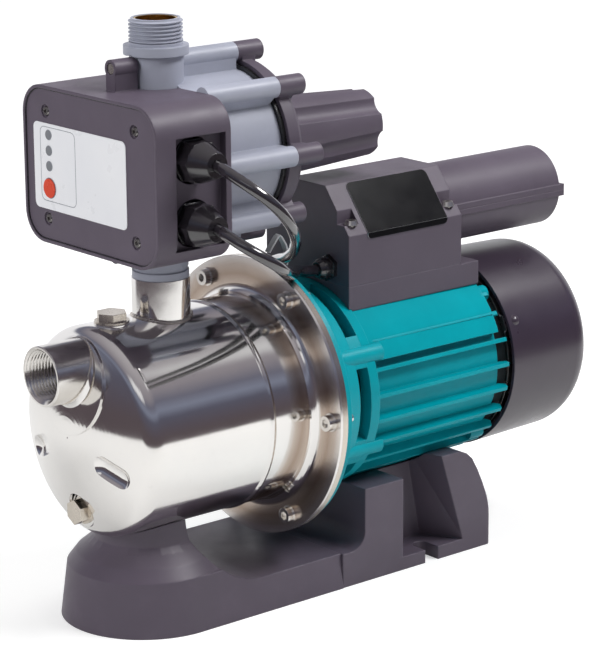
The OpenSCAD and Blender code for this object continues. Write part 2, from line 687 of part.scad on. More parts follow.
// Fin directions on the near side, repeated on the far side, with a smooth panel under the box
fin_angles = [for (i = [0:9]) 73 + i * fin_step];
fin_x = casing_x + 7;
fin_end_x = casing_end_x - 9.5;
rim_x = casing_end_x - 9;
ring_r = fin_r + 1.3;
tie_circle_r = stator_r - 2.4;
tie_angles = [45, 135, 225, 315];
module motor_casing() {
    color(teal) difference() {
        union() {
            shaft_rod(casing_x, rim_x, casing_r);
            shaft_rod(rim_x - 1, casing_end_x, end_seat_r + 1.3);
            shaft_rod(casing_x, fin_x, ring_r);
            intersection() {
                union() {
                    for (a = fin_angles, s = [-1, 1]) if (a < 172)
                        translate([0, 0, shaft_h]) rotate([s * a, 0, 0]) long_fin();
                    // Smooth shoulders under the terminal box
                    for (s = [-1, 1]) translate([0, 0, shaft_h]) mirror([0, s > 0 ? 1 : 0, 0])
                        panel_wedge();
                    // Flat rail that stands on the base
                    translate([fin_x - 2, -26, shaft_h - fin_r]) cube([fin_end_x - fin_x + 4, 52, 12]);
                }
                shaft_cone(casing_x, casing_end_x, fin_r + 0.4, fin_r - 0.6);
            }
            round_shaft(lug_rear_angles, casing_r) rod_x(fin_end_x - 5, casing_end_x - 3, 5.5);
        }
        // Bore of the stator, with a seat for each end
        shaft_rod(casing_x - 1, casing_end_x + 1, stator_r);
        shaft_rod(casing_end_x - 8, casing_end_x + 1, end_seat_r);
        shaft_rod(casing_x - 1, casing_x + 5, end_seat_r);
        for (x = motor_screw_xs, sy = [-1, 1])
            translate([x, sy * motor_screw_y, shaft_h - fin_r - 1]) cylinder(h = 14, r = 2.55);
    }
}
// Fin with a point that reaches over the stepped rear end
module long_fin() {
    tip_x = casing_end_x - 2.2;
    translate([0, fin_t / 2, 0]) rotate([90, 0, 0]) linear_extrude(fin_t)
        polygon([[fin_x - 1, casing_r - 3], [rim_x - 1, casing_r - 3], [tip_x, casing_r + 1.8],
            [tip_x - 3, fin_r + 3], [fin_x - 1, fin_r + 3]]);
}
module panel_wedge() {
    rotate([90, 0, 90]) translate([0, 0, fin_x - 1]) linear_extrude(fin_end_x - fin_x + 1)
        polygon(concat([[0, 0]], [for (i = [0:4]) let (a = 36 + i * 8) [-90 * sin(a), 90 * cos(a)]]));
}
stator_x = 131;
stator_end_x = 205;
module stator_core() {
    slot_n = 24;
    color([0.45, 0.46, 0.48]) difference() {
        shaft_ring(stator_x, stator_end_x, stator_r - run_gap, rotor_r + air_gap);
        round_shaft(tie_angles, tie_circle_r + 1.4) rod_x(stator_x - 1, stator_end_x + 1, 3.8);
        for (i = [0:slot_n - 1]) translate([0, 0, shaft_h]) rotate([i * 360 / slot_n, 0, 0])
            translate([stator_x - 1, -1.6, 32.5]) cube([stator_end_x - stator_x + 2, 3.2, 11]);
    }
}
module stator_windings() {
    color([0.72, 0.38, 0.16]) {
        shaft_ring(stator_x - 11, stator_x - 0.05, 47, 34);
        shaft_ring(stator_end_x + 0.05, stator_end_x + 11, 47, 34);
    }
}
module rotor_shaft() {
    color([0.70, 0.70, 0.72]) {
        shaft_rod(36, 58, 4.95);
        shaft_rod(impeller_x, front_bearing_x - 8, 5.95);
        shaft_rod(front_bearing_x - 16, front_bearing_x - 2, 7.5);
        shaft_rod(front_bearing_x - 2.1, front_bearing_x + front_bearing_t + 2, front_bore_r - 0.01);
        shaft_rod(front_bearing_x + front_bearing_t + 1, rear_bearing_x - 1, shaft_r);
        shaft_rod(rear_bearing_x - 1.1, rear_bearing_x + rear_bearing_t + 2, rear_bore_r - 0.01);
        shaft_rod(rear_bearing_x + rear_bearing_t, 286, 5.95);
    }
}
module rotor_core() {
    color([0.52, 0.53, 0.55]) {
        shaft_ring(stator_x, stator_end_x, rotor_r, shaft_r + 0.01);
        shaft_ring(stator_x - 5, stator_x - 0.02, rotor_r - 4, rotor_r - 10);
        shaft_ring(stator_end_x + 0.02, stator_end_x + 5, rotor_r - 4, rotor_r - 10);
    }
}
module rear_shield() {
    face_x = casing_end_x + 0.02;
    color([0.55, 0.57, 0.58]) difference() {
        union() {
            shaft_ring(casing_end_x - 7.9, face_x + 4, end_seat_r - 0.05, 26);
            shaft_rod(face_x, face_x + 4, 62);
            shaft_rod(rear_bearing_x, face_x + 4, 22);
            // Clips that hold the fan cover
            for (a = cover_clip_angles) translate([0, 0, shaft_h]) rotate([a, 0, 0]) {
                translate([face_x, -5, 50]) cube([12, 10, cover_r - cover_wall - 50.6]);
                translate([cover_clip_x, 0, 55]) cylinder(h = cover_r - cover_wall + 1.2 - 55, r = 2);
            }
        }
        shaft_rod(rear_bearing_x - 1, rear_bearing_x + rear_bearing_t, rear_bearing_r + 0.02);
        shaft_rod(rear_bearing_x - 5, face_x + 6, 9.5);
        shaft_ring(rear_bearing_x - 1, casing_end_x, 50, 26);
        round_shaft(tie_angles, tie_circle_r) rod_x(rear_bearing_x, face_x + 6, 2.2);
    }
}
cover_clip_angles = [63.6, 183.6, 303.6];
cover_clip_x = casing_end_x + 8;
module tie_rods() {
    color([0.74, 0.73, 0.70]) round_shaft(tie_angles, tie_circle_r) {
        rod_x(bracket_x + 14, casing_end_x + 4.1, 2);
        along_x(casing_end_x + 4.06) hex_prism(7, 3.4);
    }
}
fan_x = 262;
module fan() {
    color([0.14, 0.14, 0.15]) difference() {
        on_shaft(fan_x) {
            cylinder(h = 20, r = 12);
            translate([0, 0, 2]) cylinder(h = 2.4, r = fan_r - 8);
            for (i = [0:blade_n - 1]) rotate([0, 0, i * 360 / blade_n])
                translate([10, -1, 2]) cube([fan_r - 10, 2, 22]);
        }
        shaft_rod(fan_x - 1, fan_x + 22, 5.97);
    }
}
// Half outline of the fan cover, grown by g
cover_corner = 17.8;
cover_end_r = cover_r - 1.5;
cover_x = casing_end_x + 1.3;
function fan_cover_outline(g) = concat(
    [[0, cover_x - (g < 0 ? 1 : 0)], [cover_r + g, cover_x - (g < 0 ? 1 : 0)]],
    arc(cover_end_r - cover_corner, cover_end_x - cover_corner, cover_corner + g, 4, 90, 14),
    [[0, cover_end_x + g]]);
module fan_cover() {
    slot = 4.2;
    pitch = 8;
    color([0.13, 0.12, 0.13]) difference() {
        union() {
            on_shaft() rotate_extrude($fn = 144) polygon(fan_cover_outline(0));
            clip_sites() translate([0, 0, cover_r - 2.6]) sphere(r = 4.2, $fn = 32);
        }
        on_shaft() rotate_extrude($fn = 144) polygon(fan_cover_outline(-cover_wall));
        clip_sites() translate([0, 0, 60]) cylinder(h = cover_r - cover_wall + 1.4 - 60, r = 2.2);
        // Rear grille: ring slots crossed by eight bars
        difference() {
            for (i = [0:grille_n - 1]) shaft_ring(cover_end_x - 8, cover_end_x + 1,
                10 + i * pitch + slot, 10 + i * pitch);
            translate([0, 0, shaft_h]) for (i = [0:3]) rotate([i * 45 + 22.5, 0, 0])
                translate([cover_end_x - 9, -2, -60]) cube([12, 4, 120]);
        }
    }
}
module clip_sites() {
    for (a = cover_clip_angles) translate([cover_clip_x, 0, shaft_h]) rotate([a, 0, 0]) children();
}

// Terminal box
slope_y = 18;
slope_z = lid_top_z - 29.5;
notch = 15.8;
notch_y = 29.5;
notch_z = lid_top_z - 23.5;
module terminal_base() {
    color(charcoal) difference() {
        translate([box_x, -box_half, shaft_h + 40])
            cube([skirt_end_x - box_x, 2 * box_half, lid_z - shaft_h - 40]);
        shaft_rod(box_x - 1, skirt_end_x + 1, fin_r + 0.5);
        shaft_rod(box_x - 1, fin_x + seat_gap, ring_r + seat_gap);
        translate([box_x + box_wall, -box_half + box_wall, shaft_h + 30])
            cube([box_end_x - box_x - 2 * box_wall, 2 * (box_half - box_wall), 100]);
        // The skirt's tail is lower behind the box
        translate([box_end_x, -box_half - 1, lid_z - 0.5])
            cube([60, 2 * box_half + 2, 10]);
        translate([box_end_x + 1, -box_half + box_wall, shaft_h + 30])
            cube([skirt_end_x - box_end_x - box_wall - 1, 2 * (box_half - box_wall), lid_z - shaft_h - 34]);
    }
}
module lid_section(g) {
    polygon([[-box_half + g, lid_z - 20], [-box_half + g, slope_z + (g > 0 ? -g * 0.5 : 0)],
        [-slope_y + g * 0.5, lid_top_z - g], [slope_y - g * 0.5, lid_top_z - g],
        [box_half - g, slope_z + (g > 0 ? -g * 0.5 : 0)], [box_half - g, lid_z - 20]]);
}
module lid_corner_posts() {
    for (x = [box_x + 6.8, box_end_x - 7], s = [-1, 1]) translate([x, s * (box_half - 6), 0])
        children();
}
module terminal_lid() {
    color(charcoal) difference() {
        union() {
            intersection() {
                translate([box_x, 0, 0]) rotate([90, 0, 90]) linear_extrude(box_end_x - box_x)
                    lid_section(0);
                translate([0, -100, lid_z + 0.02]) cube([400, 200, 100]);
            }
            // Upper half of the capacitor housing and its joint strip
            intersection() {
                union() {
                    rod_x(box_end_x - 30, cap_end_x, cap_r, 0, cap_z);
                    translate([box_end_x - 3, -cap_r - 0.5, cap_z - 4])
                        cube([cap_end_x + 4 - box_end_x + 3, 2 * cap_r + 1, 8]);
                }
                translate([box_end_x - 3, -50, cap_z + 0.02]) cube([200, 100, 60]);
            }
        }
        // Hollow of the box, open below
        intersection() {
            translate([box_x + box_wall, 0, 0]) rotate([90, 0, 90])
                linear_extrude(box_end_x - box_x - 2 * box_wall) lid_section(box_wall);
            difference() {
                translate([0, -100, lid_z - 5]) cube([400, 200, 100]);
                for (x = [box_x, box_end_x - notch], s = [-1, 1])
                    translate([x - 1, s > 0 ? notch_y - box_wall : -box_half - 1, lid_z - 6])
                        cube([notch + 1 + box_wall, box_half - notch_y + box_wall + 1, 100]);
            }
        }
        rod_x(box_end_x - 12, cap_end_x - box_wall, cap_r - box_wall, 0, cap_z);
        // Corner notches for the screws
        for (x = [box_x - 1, box_end_x - notch + 3.8], s = [-1, 1])
            translate([x, s > 0 ? notch_y : -box_half - 1, notch_z])
                cube([notch - 2.8, box_half - notch_y + 1, 60]);
        lid_corner_posts() translate([0, 0, lid_z - 1]) cylinder(h = 60, r = 2.4);
    }
}
module capacitor_tray() {
    color(charcoal) difference() {
        intersection() {
            union() {
                rod_x(box_end_x + 0.02, cap_end_x, cap_r, 0, cap_z);
                translate([box_end_x + 0.02, -cap_r - 0.5, cap_z - 4])
                    cube([cap_end_x + 4 - box_end_x, 2 * cap_r + 1, 8]);
            }
            translate([box_end_x, -50, cap_z - 60.02]) cube([200, 100, 60]);
        }
        rod_x(box_end_x + box_wall, cap_end_x - box_wall, cap_r - box_wall, 0, cap_z);
        rod_x(box_end_x - 1, box_end_x + 5, 13, 0, cap_z);
    }
}
module capacitor() {
    color([0.80, 0.80, 0.78]) {
        rod_x(box_end_x + 8, cap_end_x - 8, cap_r - box_wall - 0.3, 0, cap_z);
        for (s = [-1, 1]) translate([box_end_x - 1, s * 7 - 1.5, cap_z - 4]) cube([9.5, 3, 8]);
    }
}
module terminal_block() {
    color([0.88, 0.86, 0.80]) difference() {
        translate([150, -20, shaft_h + casing_r + 6.8]) cube([16, 40, 14]);
        for (i = [0:4]) translate([158, -16 + i * 8, shaft_h + casing_r + 10])
            cylinder(h = 20, r = 2.2, $fn = 24);
    }
    color([0.88, 0.86, 0.80]) for (s = [-1, 1]) intersection() {
        translate([154, s * 14 - 3, shaft_h + 50]) cube([8, 6, casing_r + 6.9 - 50]);
        difference() {
            shaft_rod(150, 170, 80);
            shaft_rod(149, 171, casing_r + seat_gap);
        }
    }
}
module lid_screws() {
    color([0.80, 0.76, 0.66]) lid_corner_posts() {
        translate([0, 0, notch_z + 0.05]) difference() {
            cylinder(h = 3, r1 = 4.6, r2 = 3.4);
            for (q = [0, 90]) rotate([0, 0, q + 20]) translate([-3, -0.5, 2]) cube([6, 1, 2]);
        }
        translate([0, 0, lid_z - 0.5]) cylinder(h = notch_z - lid_z + 0.6, r = 2.1);
    }
}
plate_x0 = box_x + notch;
plate_x1 = box_end_x - notch + 2.8;
plate_t = 0.6;
module name_plate() {
    drop = 3.6;
    gap = 0.03;
    tilt = atan2(lid_top_z - slope_z, box_half - slope_y);
    slope_len = norm([box_half - slope_y, lid_top_z - slope_z]);
    color(black) {
        // Sheet on the slope, bent down over the edge
        translate([plate_x0, -box_half, slope_z]) rotate([tilt, 0, 0]) translate([0, 0, gap])
            linear_extrude(plate_t) {
                translate([0, 0]) square([plate_x1 - plate_x0, slope_len - 5]);
                translate([4, 0]) square([plate_x1 - plate_x0 - 8, slope_len - 1]);
                for (x = [4, plate_x1 - plate_x0 - 4]) translate([x, slope_len - 5]) circle(4);
            }
        translate([(plate_x0 + plate_x1) / 2, -box_half - gap, slope_z + 0.02]) rotate([90, 0, 0])
            linear_extrude(plate_t) intersection() {
                translate([0, (3 - drop) / 2]) rounded_rect(plate_x1 - plate_x0, drop + 3, 3);
                translate([-60, -30]) square([120, 30]);
            }
    }
}
term_gland_y = -22;
term_gland_z = lid_z + 10;
module terminal_gland() {
    color(black) along_x(box_x - 0.02, term_gland_y, term_gland_z) rotate([0, 180, 0]) difference() {
        union() {
            hex_prism(15, 3);
            translate([0, 0, 2.9]) cylinder(h = 5, r1 = 7.2, r2 = 6.6);
            translate([0, 0, 7.8]) cylinder(h = 3, r1 = 6.4, r2 = 5);
        }
        translate([0, 0, -1]) cylinder(h = 20, r = cable_r + 0.25);
    }
}

// Controller
column_angles = [for (i = [0:column_n - 1]) i * 360 / column_n];
module round_ctrl(angles, r) {
    for (a = angles) translate([0, -r * sin(a), ctrl_z + r * cos(a)]) children();
}
module ctrl_rod(x0, x1, r) { rod_x(x0, x1, r, 0, ctrl_z); }
valve_front_x = -19.7;
inlet_z = neck_z;
spigot_h = 21.9;
spigot_z = outlet_z - spigot_h;
float_seat_z = inlet_z + 17;
module valve_body() {
    chamber_r = 38;
    color(slate) difference() {
        union() {
            ctrl_rod(valve_front_x, ebox_end_x + 1, 40);
            ctrl_rod(ebox_end_x + 0.3, valve_end_x, valve_r);
            round_ctrl(column_angles, clamp_circle_r) rod_x(ebox_end_x + 0.3, valve_end_x, column_r);
            // Webs join the columns to the body
            translate([0, 0, ctrl_z]) for (a = column_angles) rotate([a, 0, 0])
                translate([ebox_end_x + 1.3, -column_r + 0.6, valve_r - 10])
                    cube([valve_end_x - ebox_end_x - 3, 2 * column_r - 1.2, clamp_circle_r - valve_r + 9]);
            // Vertical pipe with its collars
            translate([0, 0, inlet_z + 0.02]) cylinder(h = spigot_z - inlet_z - 0.02, r = pipe_r);
            translate([0, 0, inlet_z + 0.02]) cylinder(h = 4.5, r = pipe_r + 1.2);
            translate([0, 0, inlet_z + 7]) cylinder(h = 12, r = pipe_r + 0.9);
            // Threaded spigot in the discharge neck
            translate([0, 0, inlet_z - 15]) cylinder(h = 16, r = 15.1);
        }
        // Chamber open to the diaphragm
        ctrl_rod(valve_front_x + 4, valve_end_x + 1, chamber_r);
        translate([0, 0, ctrl_z]) cylinder(h = 100, r = outlet_bore_r + 1.2);
        translate([0, 0, inlet_z - 16]) cylinder(h = 100, r = 10.5);
        translate([0, 0, float_seat_z]) cylinder(h = ctrl_z - float_seat_z, r = 13);
        round_ctrl(column_angles, clamp_circle_r) rod_x(valve_end_x - 26, valve_end_x + 1, 2.2);
        for (s = [0, 180]) round_ctrl([s], clamp_circle_r) rod_x(-20, -pipe_r + 2.5, 2.2);
    }
}
// Threaded end on top of the pipe, with its collar
module outlet_spigot() {
    collar_t = 5.5;
    color(slate) difference() {
        union() {
            translate([0, 0, spigot_z + 0.02]) cylinder(h = collar_t, r = collar_r);
            translate([0, 0, spigot_z + collar_t - 1]) cylinder(h = 3, r = pipe_r);
            translate([0, 0, spigot_z + collar_t])
                cylinder(h = outlet_z - spigot_z - collar_t, r = outlet_r - 1.5);
            // Ridges of the outlet thread
            for (i = [0:5]) translate([0, 0, outlet_z - 14.4 + i * 2.31])
                thread_ridge(outlet_r - 1.6, outlet_r);
        }
        translate([0, 0, spigot_z - 1]) cylinder(h = 100, r = outlet_bore_r + 1.2);
        // The collar clears the topmost column
        rod_x(-collar_r, valve_end_x, column_r + 0.15, 0, ctrl_z + clamp_circle_r);
    }
}
module thread_ridge(r0, r1) {
    rotate_extrude() polygon([[r0 - 1, 0], [r0, 0], [r1, 0.8], [r1, 1.2], [r0, 2], [r0 - 1, 2]]);
}
module outlet_liner() {
    color([0.76, 0.60, 0.32]) translate([0, 0, outlet_z - 18]) difference() {
        cylinder(h = 17.6, r = outlet_bore_r + 1.15);
        translate([0, 0, -1]) cylinder(h = 30, r = outlet_bore_r);
    }
}
diaphragm_t = 2.5;
cover_face_x = valve_end_x + diaphragm_t;
piston_r = 27;
piston_travel = 4;
module diaphragm() {
    color(black) rod_ring(valve_end_x + 0.02, cover_face_x - 0.02, valve_r + 2.4, piston_r + 1);
}
module rod_ring(x0, x1, ro, ri) {
    difference() {
        ctrl_rod(x0, x1, ro);
        ctrl_rod(x0 - 1, x1 + 1, ri);
    }
}
module piston() {
    color([0.86, 0.85, 0.80]) {
        ctrl_rod(valve_end_x - 3, cover_face_x, piston_r);
        ctrl_rod(cover_face_x - 0.1, cover_face_x + 6, 12);
        ctrl_rod(valve_end_x - 20, valve_end_x - 2.9, 4);
    }
}
spring_mean_r = 14.5;
spring_x = cover_face_x + 0.2;
spring_end_x = spring_case_end_x - 3.2;
module pressure_spring() {
    turns = 10;
    wire_r = 1.2;
    steps = 160;
    sides = 6;
    run = spring_end_x - spring_x - 2 * wire_r;
    points = [for (i = [0:steps], j = [0:sides - 1])
        let (t = i / steps, a = 360 * turns * t, b = 360 * j / sides,
            rr = spring_mean_r + wire_r * cos(b))
        [t * run + wire_r * sin(b), rr * cos(a), rr * sin(a)]];
    sides_faces = [for (i = [0:steps - 1], j = [0:sides - 1])
        let (a = i * sides + j, b = i * sides + (j + 1) % sides)
        [a, a + sides, b + sides, b]];
    caps = [[for (j = [0:sides - 1]) j], [for (j = [0:sides - 1]) steps * sides + sides - 1 - j]];
    color([0.65, 0.66, 0.68]) translate([spring_x + wire_r, 0, ctrl_z])
        polyhedron(points = points, faces = concat(sides_faces, caps), convexity = 10);
}
cover_ring_r = 52.5;
cover_ring_end_x = cover_face_x + 11.2;
stub_end_x = cover_ring_end_x + 6.3;
module back_cover() {
    color(charcoal) difference() {
        union() {
            ctrl_rod(cover_face_x, cover_ring_end_x - 3, cover_ring_r);
            along_x(cover_ring_end_x - 3.1, 0, ctrl_z)
                cylinder(h = 3.1, r1 = cover_ring_r, r2 = cover_ring_r - 2);
            round_ctrl(column_angles, clamp_circle_r) rod_x(valve_end_x + 0.02, stub_end_x, column_r);
            translate([0, 0, ctrl_z]) for (a = column_angles) rotate([a, 0, 0])
                translate([cover_face_x + 0.6, -column_r + 0.4, cover_ring_r - 12])
                    cube([cover_ring_end_x - cover_face_x - 1, 2 * column_r - 0.8,
                        clamp_circle_r - cover_ring_r + 11]);
            along_x(cover_ring_end_x - 4, 0, ctrl_z)
                cylinder(h = spring_case_end_x - cover_ring_end_x + 4,
                    r1 = spring_case_r, r2 = spring_case_end_r);
            // Blisters where the housing grows out of the ring
            round_ctrl([45, 135, 225, 315], 27) along_x(cover_ring_end_x - 4)
                cylinder(h = 26, r1 = 6, r2 = 1.5);
        }
        spring_bore();
        // Round flutes along the tapered housing
        for (i = [0:flute_n - 1]) translate([0, 0, ctrl_z]) rotate([-7 + i * 360 / flute_n, 0, 0])
            translate([cover_ring_end_x + 12, 0, spring_case_r + 5.4]) rotate([0, 93, 0])
                cylinder(h = 110, r = 9);
        round_ctrl(column_angles, clamp_circle_r) {
            rod_x(valve_end_x - 1, stub_end_x + 1, 2.2);
            rod_x(stub_end_x - 3.5, stub_end_x + 1, 4.3);
        }
    }
}
module spring_bore() {
    inner = spring_case_end_r - 5;
    along_x(cover_face_x - 1, 0, ctrl_z) cylinder(h = 12, r = piston_r + 1.5);
    along_x(cover_face_x + 10, 0, ctrl_z)
        cylinder(h = spring_case_end_x - cover_face_x - 13, r1 = spring_case_r - 6.4, r2 = inner);
}
module clamp_screws() {
    color(steel) {
        round_ctrl(column_angles, clamp_circle_r) {
            rod_x(valve_end_x - 20, stub_end_x - 3.4, 2);
            rod_x(stub_end_x - 3.45, stub_end_x - 0.8, 4);
        }
        // Two screws hold the electronics box
        for (s = [0, 180]) round_ctrl([s], clamp_circle_r) {
            rod_x(box_boss_x + 1.2, -pipe_r + 2.4, 2);
            rod_x(box_boss_x + 0.4, box_boss_x + 1.3, 3.2);
        }
    }
}
box_boss_x = -34.5;
module check_float() {
    seat = float_seat_z;
    color([0.85, 0.83, 0.78]) {
        translate([0, 0, seat + 0.3]) cylinder(h = 4, r = 12.6);
        translate([0, 0, seat - 9]) cylinder(h = 9.4, r = 5);
        translate([0, 0, seat + 4.2]) cylinder(h = 8, r = 4);
    }
}

// Electronics box
ebox_wall = 2.6;
pocket_x = -38;
pocket_depth = 5.7;
pocket_z0 = ctrl_z - 43.5;
pocket_z1 = ctrl_z + 24.5;
plate_x = ebox_x + 1;
module electronics_box() {
    color(charcoal) difference() {
        union() {
            panel_x(ebox_x, ebox_end_x, ebox_w, ebox_h, ebox_corner, ebox_z);
            // Screw bosses above and below
            for (s = [-1, 1]) {
                rod_x(box_boss_x, -pipe_r - 1.2, 5.6, 0, ctrl_z + s * clamp_circle_r);
                translate([box_boss_x, -4.6, s > 0 ? ebox_z + 40 : ctrl_z - clamp_circle_r])
                    cube([-pipe_r - 1.2 - box_boss_x, 9.2, s > 0 ? ctrl_z + clamp_circle_r - ebox_z - 40 :
                        clamp_circle_r - 41]);
            }
        }
        // Hollow for the electronics behind the front plate
        difference() {
            panel_x(plate_x + 2.6, -24, ebox_w - 2 * ebox_wall - 3, ebox_h - 2 * ebox_wall - 3,
                ebox_corner - 4, ebox_z);
            gland_pocket(ebox_wall);
            for (p = plate_screw_yz) rod_x(plate_x, -23, 4.5, p[0], p[1]);
        }
        panel_x(ebox_x - 1, plate_x + 2.62, ebox_w - 4, ebox_h - 4, ebox_corner - 2, ebox_z);
        // Shroud open to the rear over the valve body
        difference() {
            panel_x(-21, ebox_end_x + 1, ebox_w - 2 * ebox_wall, ebox_h - 2 * ebox_wall,
                ebox_corner - ebox_wall, ebox_z);
            gland_pocket(ebox_wall);
        }
        gland_pocket(0);
        // Way through for the vertical pipe
        translate([0, 0, 200]) cylinder(h = 200, r = pipe_r + 1.6);
        translate([0, -pipe_r - 1.6, 200]) cube([40, 2 * pipe_r + 3.2, 200]);
        for (z = gland_zs) along_y(gland_x, pocket_y + 20, z) cylinder(h = 60, r = 9.6);
        for (p = plate_screw_yz) rod_x(plate_x, -26, 1.4, p[0], p[1]);
        for (s = [-1, 1]) {
            rod_x(box_boss_x - 1, 20, 2.2, 0, ctrl_z + s * clamp_circle_r);
            rod_x(box_boss_x - 1, box_boss_x + 1.4, 3.6, 0, ctrl_z + s * clamp_circle_r);
        }
    }
}
// Shallow pocket in the side with a round sink for each gland, grown by g
module gland_pocket(g) {
    translate([pocket_x - g, -ebox_w / 2 - 5, pocket_z0 - g])
        cube([-pocket_x - 1 + 2 * g, 5 + pocket_depth + g, pocket_z1 - pocket_z0 + 2 * g]);
    for (z = gland_zs) along_y(gland_x, pocket_y + g, z) cylinder(h = 20, r = gland_af * 0.6 + g);
}
plate_screw_yz = [for (sy = [-1, 1], sz = [-1, 1]) [sy * 45, ebox_z - 0.4 + sz * 33.4]];
led_y = 41.8;
led_zs = [ctrl_z + 13.3, ctrl_z + 3.5, ctrl_z - 6.1];
button_z = ctrl_z - 19.8;
label_y = 10.5;
label_z = ctrl_z - 6.5;
module front_plate() {
    color(charcoal) difference() {
        panel_x(plate_x, plate_x + 2.6, ebox_w - 4.6, ebox_h - 4.6, ebox_corner - 2.3, ebox_z);
        for (p = plate_screw_yz) {
            rod_x(plate_x - 1, plate_x + 3, 1.8, p[0], p[1]);
            rod_x(plate_x - 1, plate_x + 1.2, 4.2, p[0], p[1]);
        }
        rod_x(plate_x - 1, plate_x + 3, button_r + 0.3, led_y, button_z);
        for (z = led_zs) rod_x(plate_x - 1, plate_x + 3, 2.6, led_y, z);
    }
}
module plate_screws() {
    color(steel) for (p = plate_screw_yz) translate([0, p[0], p[1]]) {
        difference() {
            along_x(plate_x + 0.1) cylinder(h = 1.1, r1 = 2.4, r2 = 3.2);
            along_x(plate_x - 0.1) hex_prism(2.4, 1);
        }
        rod_x(plate_x + 1.1, plate_x + 12, 1.35);
    }
}
module display_label() {
    color([0.86, 0.87, 0.89]) difference() {
        translate([plate_x - 0.35, label_y, label_z]) rotate([90, 0, 90])
            linear_extrude(0.33) rounded_rect(94.3, 53.5, 4);
        rod_x(plate_x - 1, plate_x + 1, button_r + 0.3, led_y, button_z);
        for (z = led_zs) rod_x(plate_x - 1, plate_x + 1, 2.6, led_y, z);
    }
}
module status_leds() {
    color([0.55, 0.56, 0.58]) for (z = led_zs) {
        rod_x(plate_x - 0.55, -45.5, 2.5, led_y, z);
        rod_x(plate_x - 0.7, plate_x - 0.37, 3, led_y, z);
    }
}
module circuit_board() {
    color([0.10, 0.36, 0.20]) difference() {
        panel_x(-45.45, -43.85, 108, 72, 8, ebox_z);
        for (p = plate_screw_yz) rod_x(-47, -42, 5, p[0], p[1]);
    }
    color([0.12, 0.12, 0.13]) {
        translate([-43.8, -10, ebox_z - 20]) cube([12, 26, 22]);
        translate([-43.8, 26, ebox_z - 4]) cube([9, 14, 18]);
        // Posts that carry the board on the partition
        for (p = [[30, 30], [30, -30], [-20, 30], [-20, -30]])
            rod_x(-43.8, -24.02, 3, p[0], ebox_z + p[1]);
    }
}
module restart_button() {
    color([0.86, 0.26, 0.16]) rod_x(plate_x - 1.1, -47.3, button_r, led_y, button_z);
}
module gland_bodies() {
    color(black) for (z = gland_zs) along_y(gland_x, pocket_y, z) difference() {
        union() {
            translate([0, 0, 0.02]) hex_prism(gland_af, 7);
            translate([0, 0, -9]) cylinder(h = 24, r = 9.4);
        }
        translate([0, 0, -10]) cylinder(h = 40, r = cable_r + 0.6);
    }
}
gland_nut_y = pocket_y - 7.3;
module gland_nuts() {
    color(black) for (z = gland_zs) along_y(gland_x, gland_nut_y, z) difference() {
        union() {
            hex_prism(gland_af - 1, 12);
            intersection() {
                translate([0, 0, 11.9]) cylinder(h = 13, r1 = 12.4, r2 = 7.6);
                cylinder(h = 40, r = 12.6);
            }
        }
        translate([0, 0, -1]) cylinder(h = 9.5, r = 9.5);
        translate([0, 0, -1]) cylinder(h = 40, r = cable_r + 0.25);
    }
}

// Cords: a tube swept along its own points, as a smooth curve
function lerp3(a, b, t) = a + (b - a) * t;
function spline(p0, p1, p2, p3, t) = 0.5 * ((2 * p1) + (p2 - p0) * t
    + (2 * p0 - 5 * p1 + 4 * p2 - p3) * t * t + (3 * p1 - p0 - 3 * p2 + p3) * t * t * t);
function smooth_path(pts, per) = [for (i = [0:len(pts) - 2], k = [0:per - 1])
    let (a = pts[max(i - 1, 0)], b = pts[i], c = pts[i + 1], d = pts[min(i + 2, len(pts) - 1)])
    spline(a, b, c, d, k / per), pts[len(pts) - 1]];
function unit(v) = v / max(norm(v), 0.0001);
function tangent(path, i) = unit(path[min(i + 1, len(path) - 1)] - path[max(i - 1, 0)]);
module tube(pts, r, per, sides) {
    path = smooth_path(pts, per);
    n = len(path);
    rings = [for (i = [0:n - 1]) let (t = tangent(path, i),
            u = unit(cross(t, abs(t[2]) > 0.9 ? [1, 0, 0] : [0, 0, 1])), v = cross(t, u))
        for (j = [0:sides - 1]) path[i] + r * (u * cos(360 * j / sides) + v * sin(360 * j / sides))];
    skin = [for (i = [0:n - 2], j = [0:sides - 1]) let (a = i * sides + j, b = i * sides + (j + 1) % sides)
        [a, b, b + sides, a + sides]];
    polyhedron(points = rings, faces = concat(skin, [[for (j = [0:sides - 1]) sides - 1 - j],
        [for (j = [0:sides - 1]) (n - 1) * sides + j]]), convexity = 10);
}
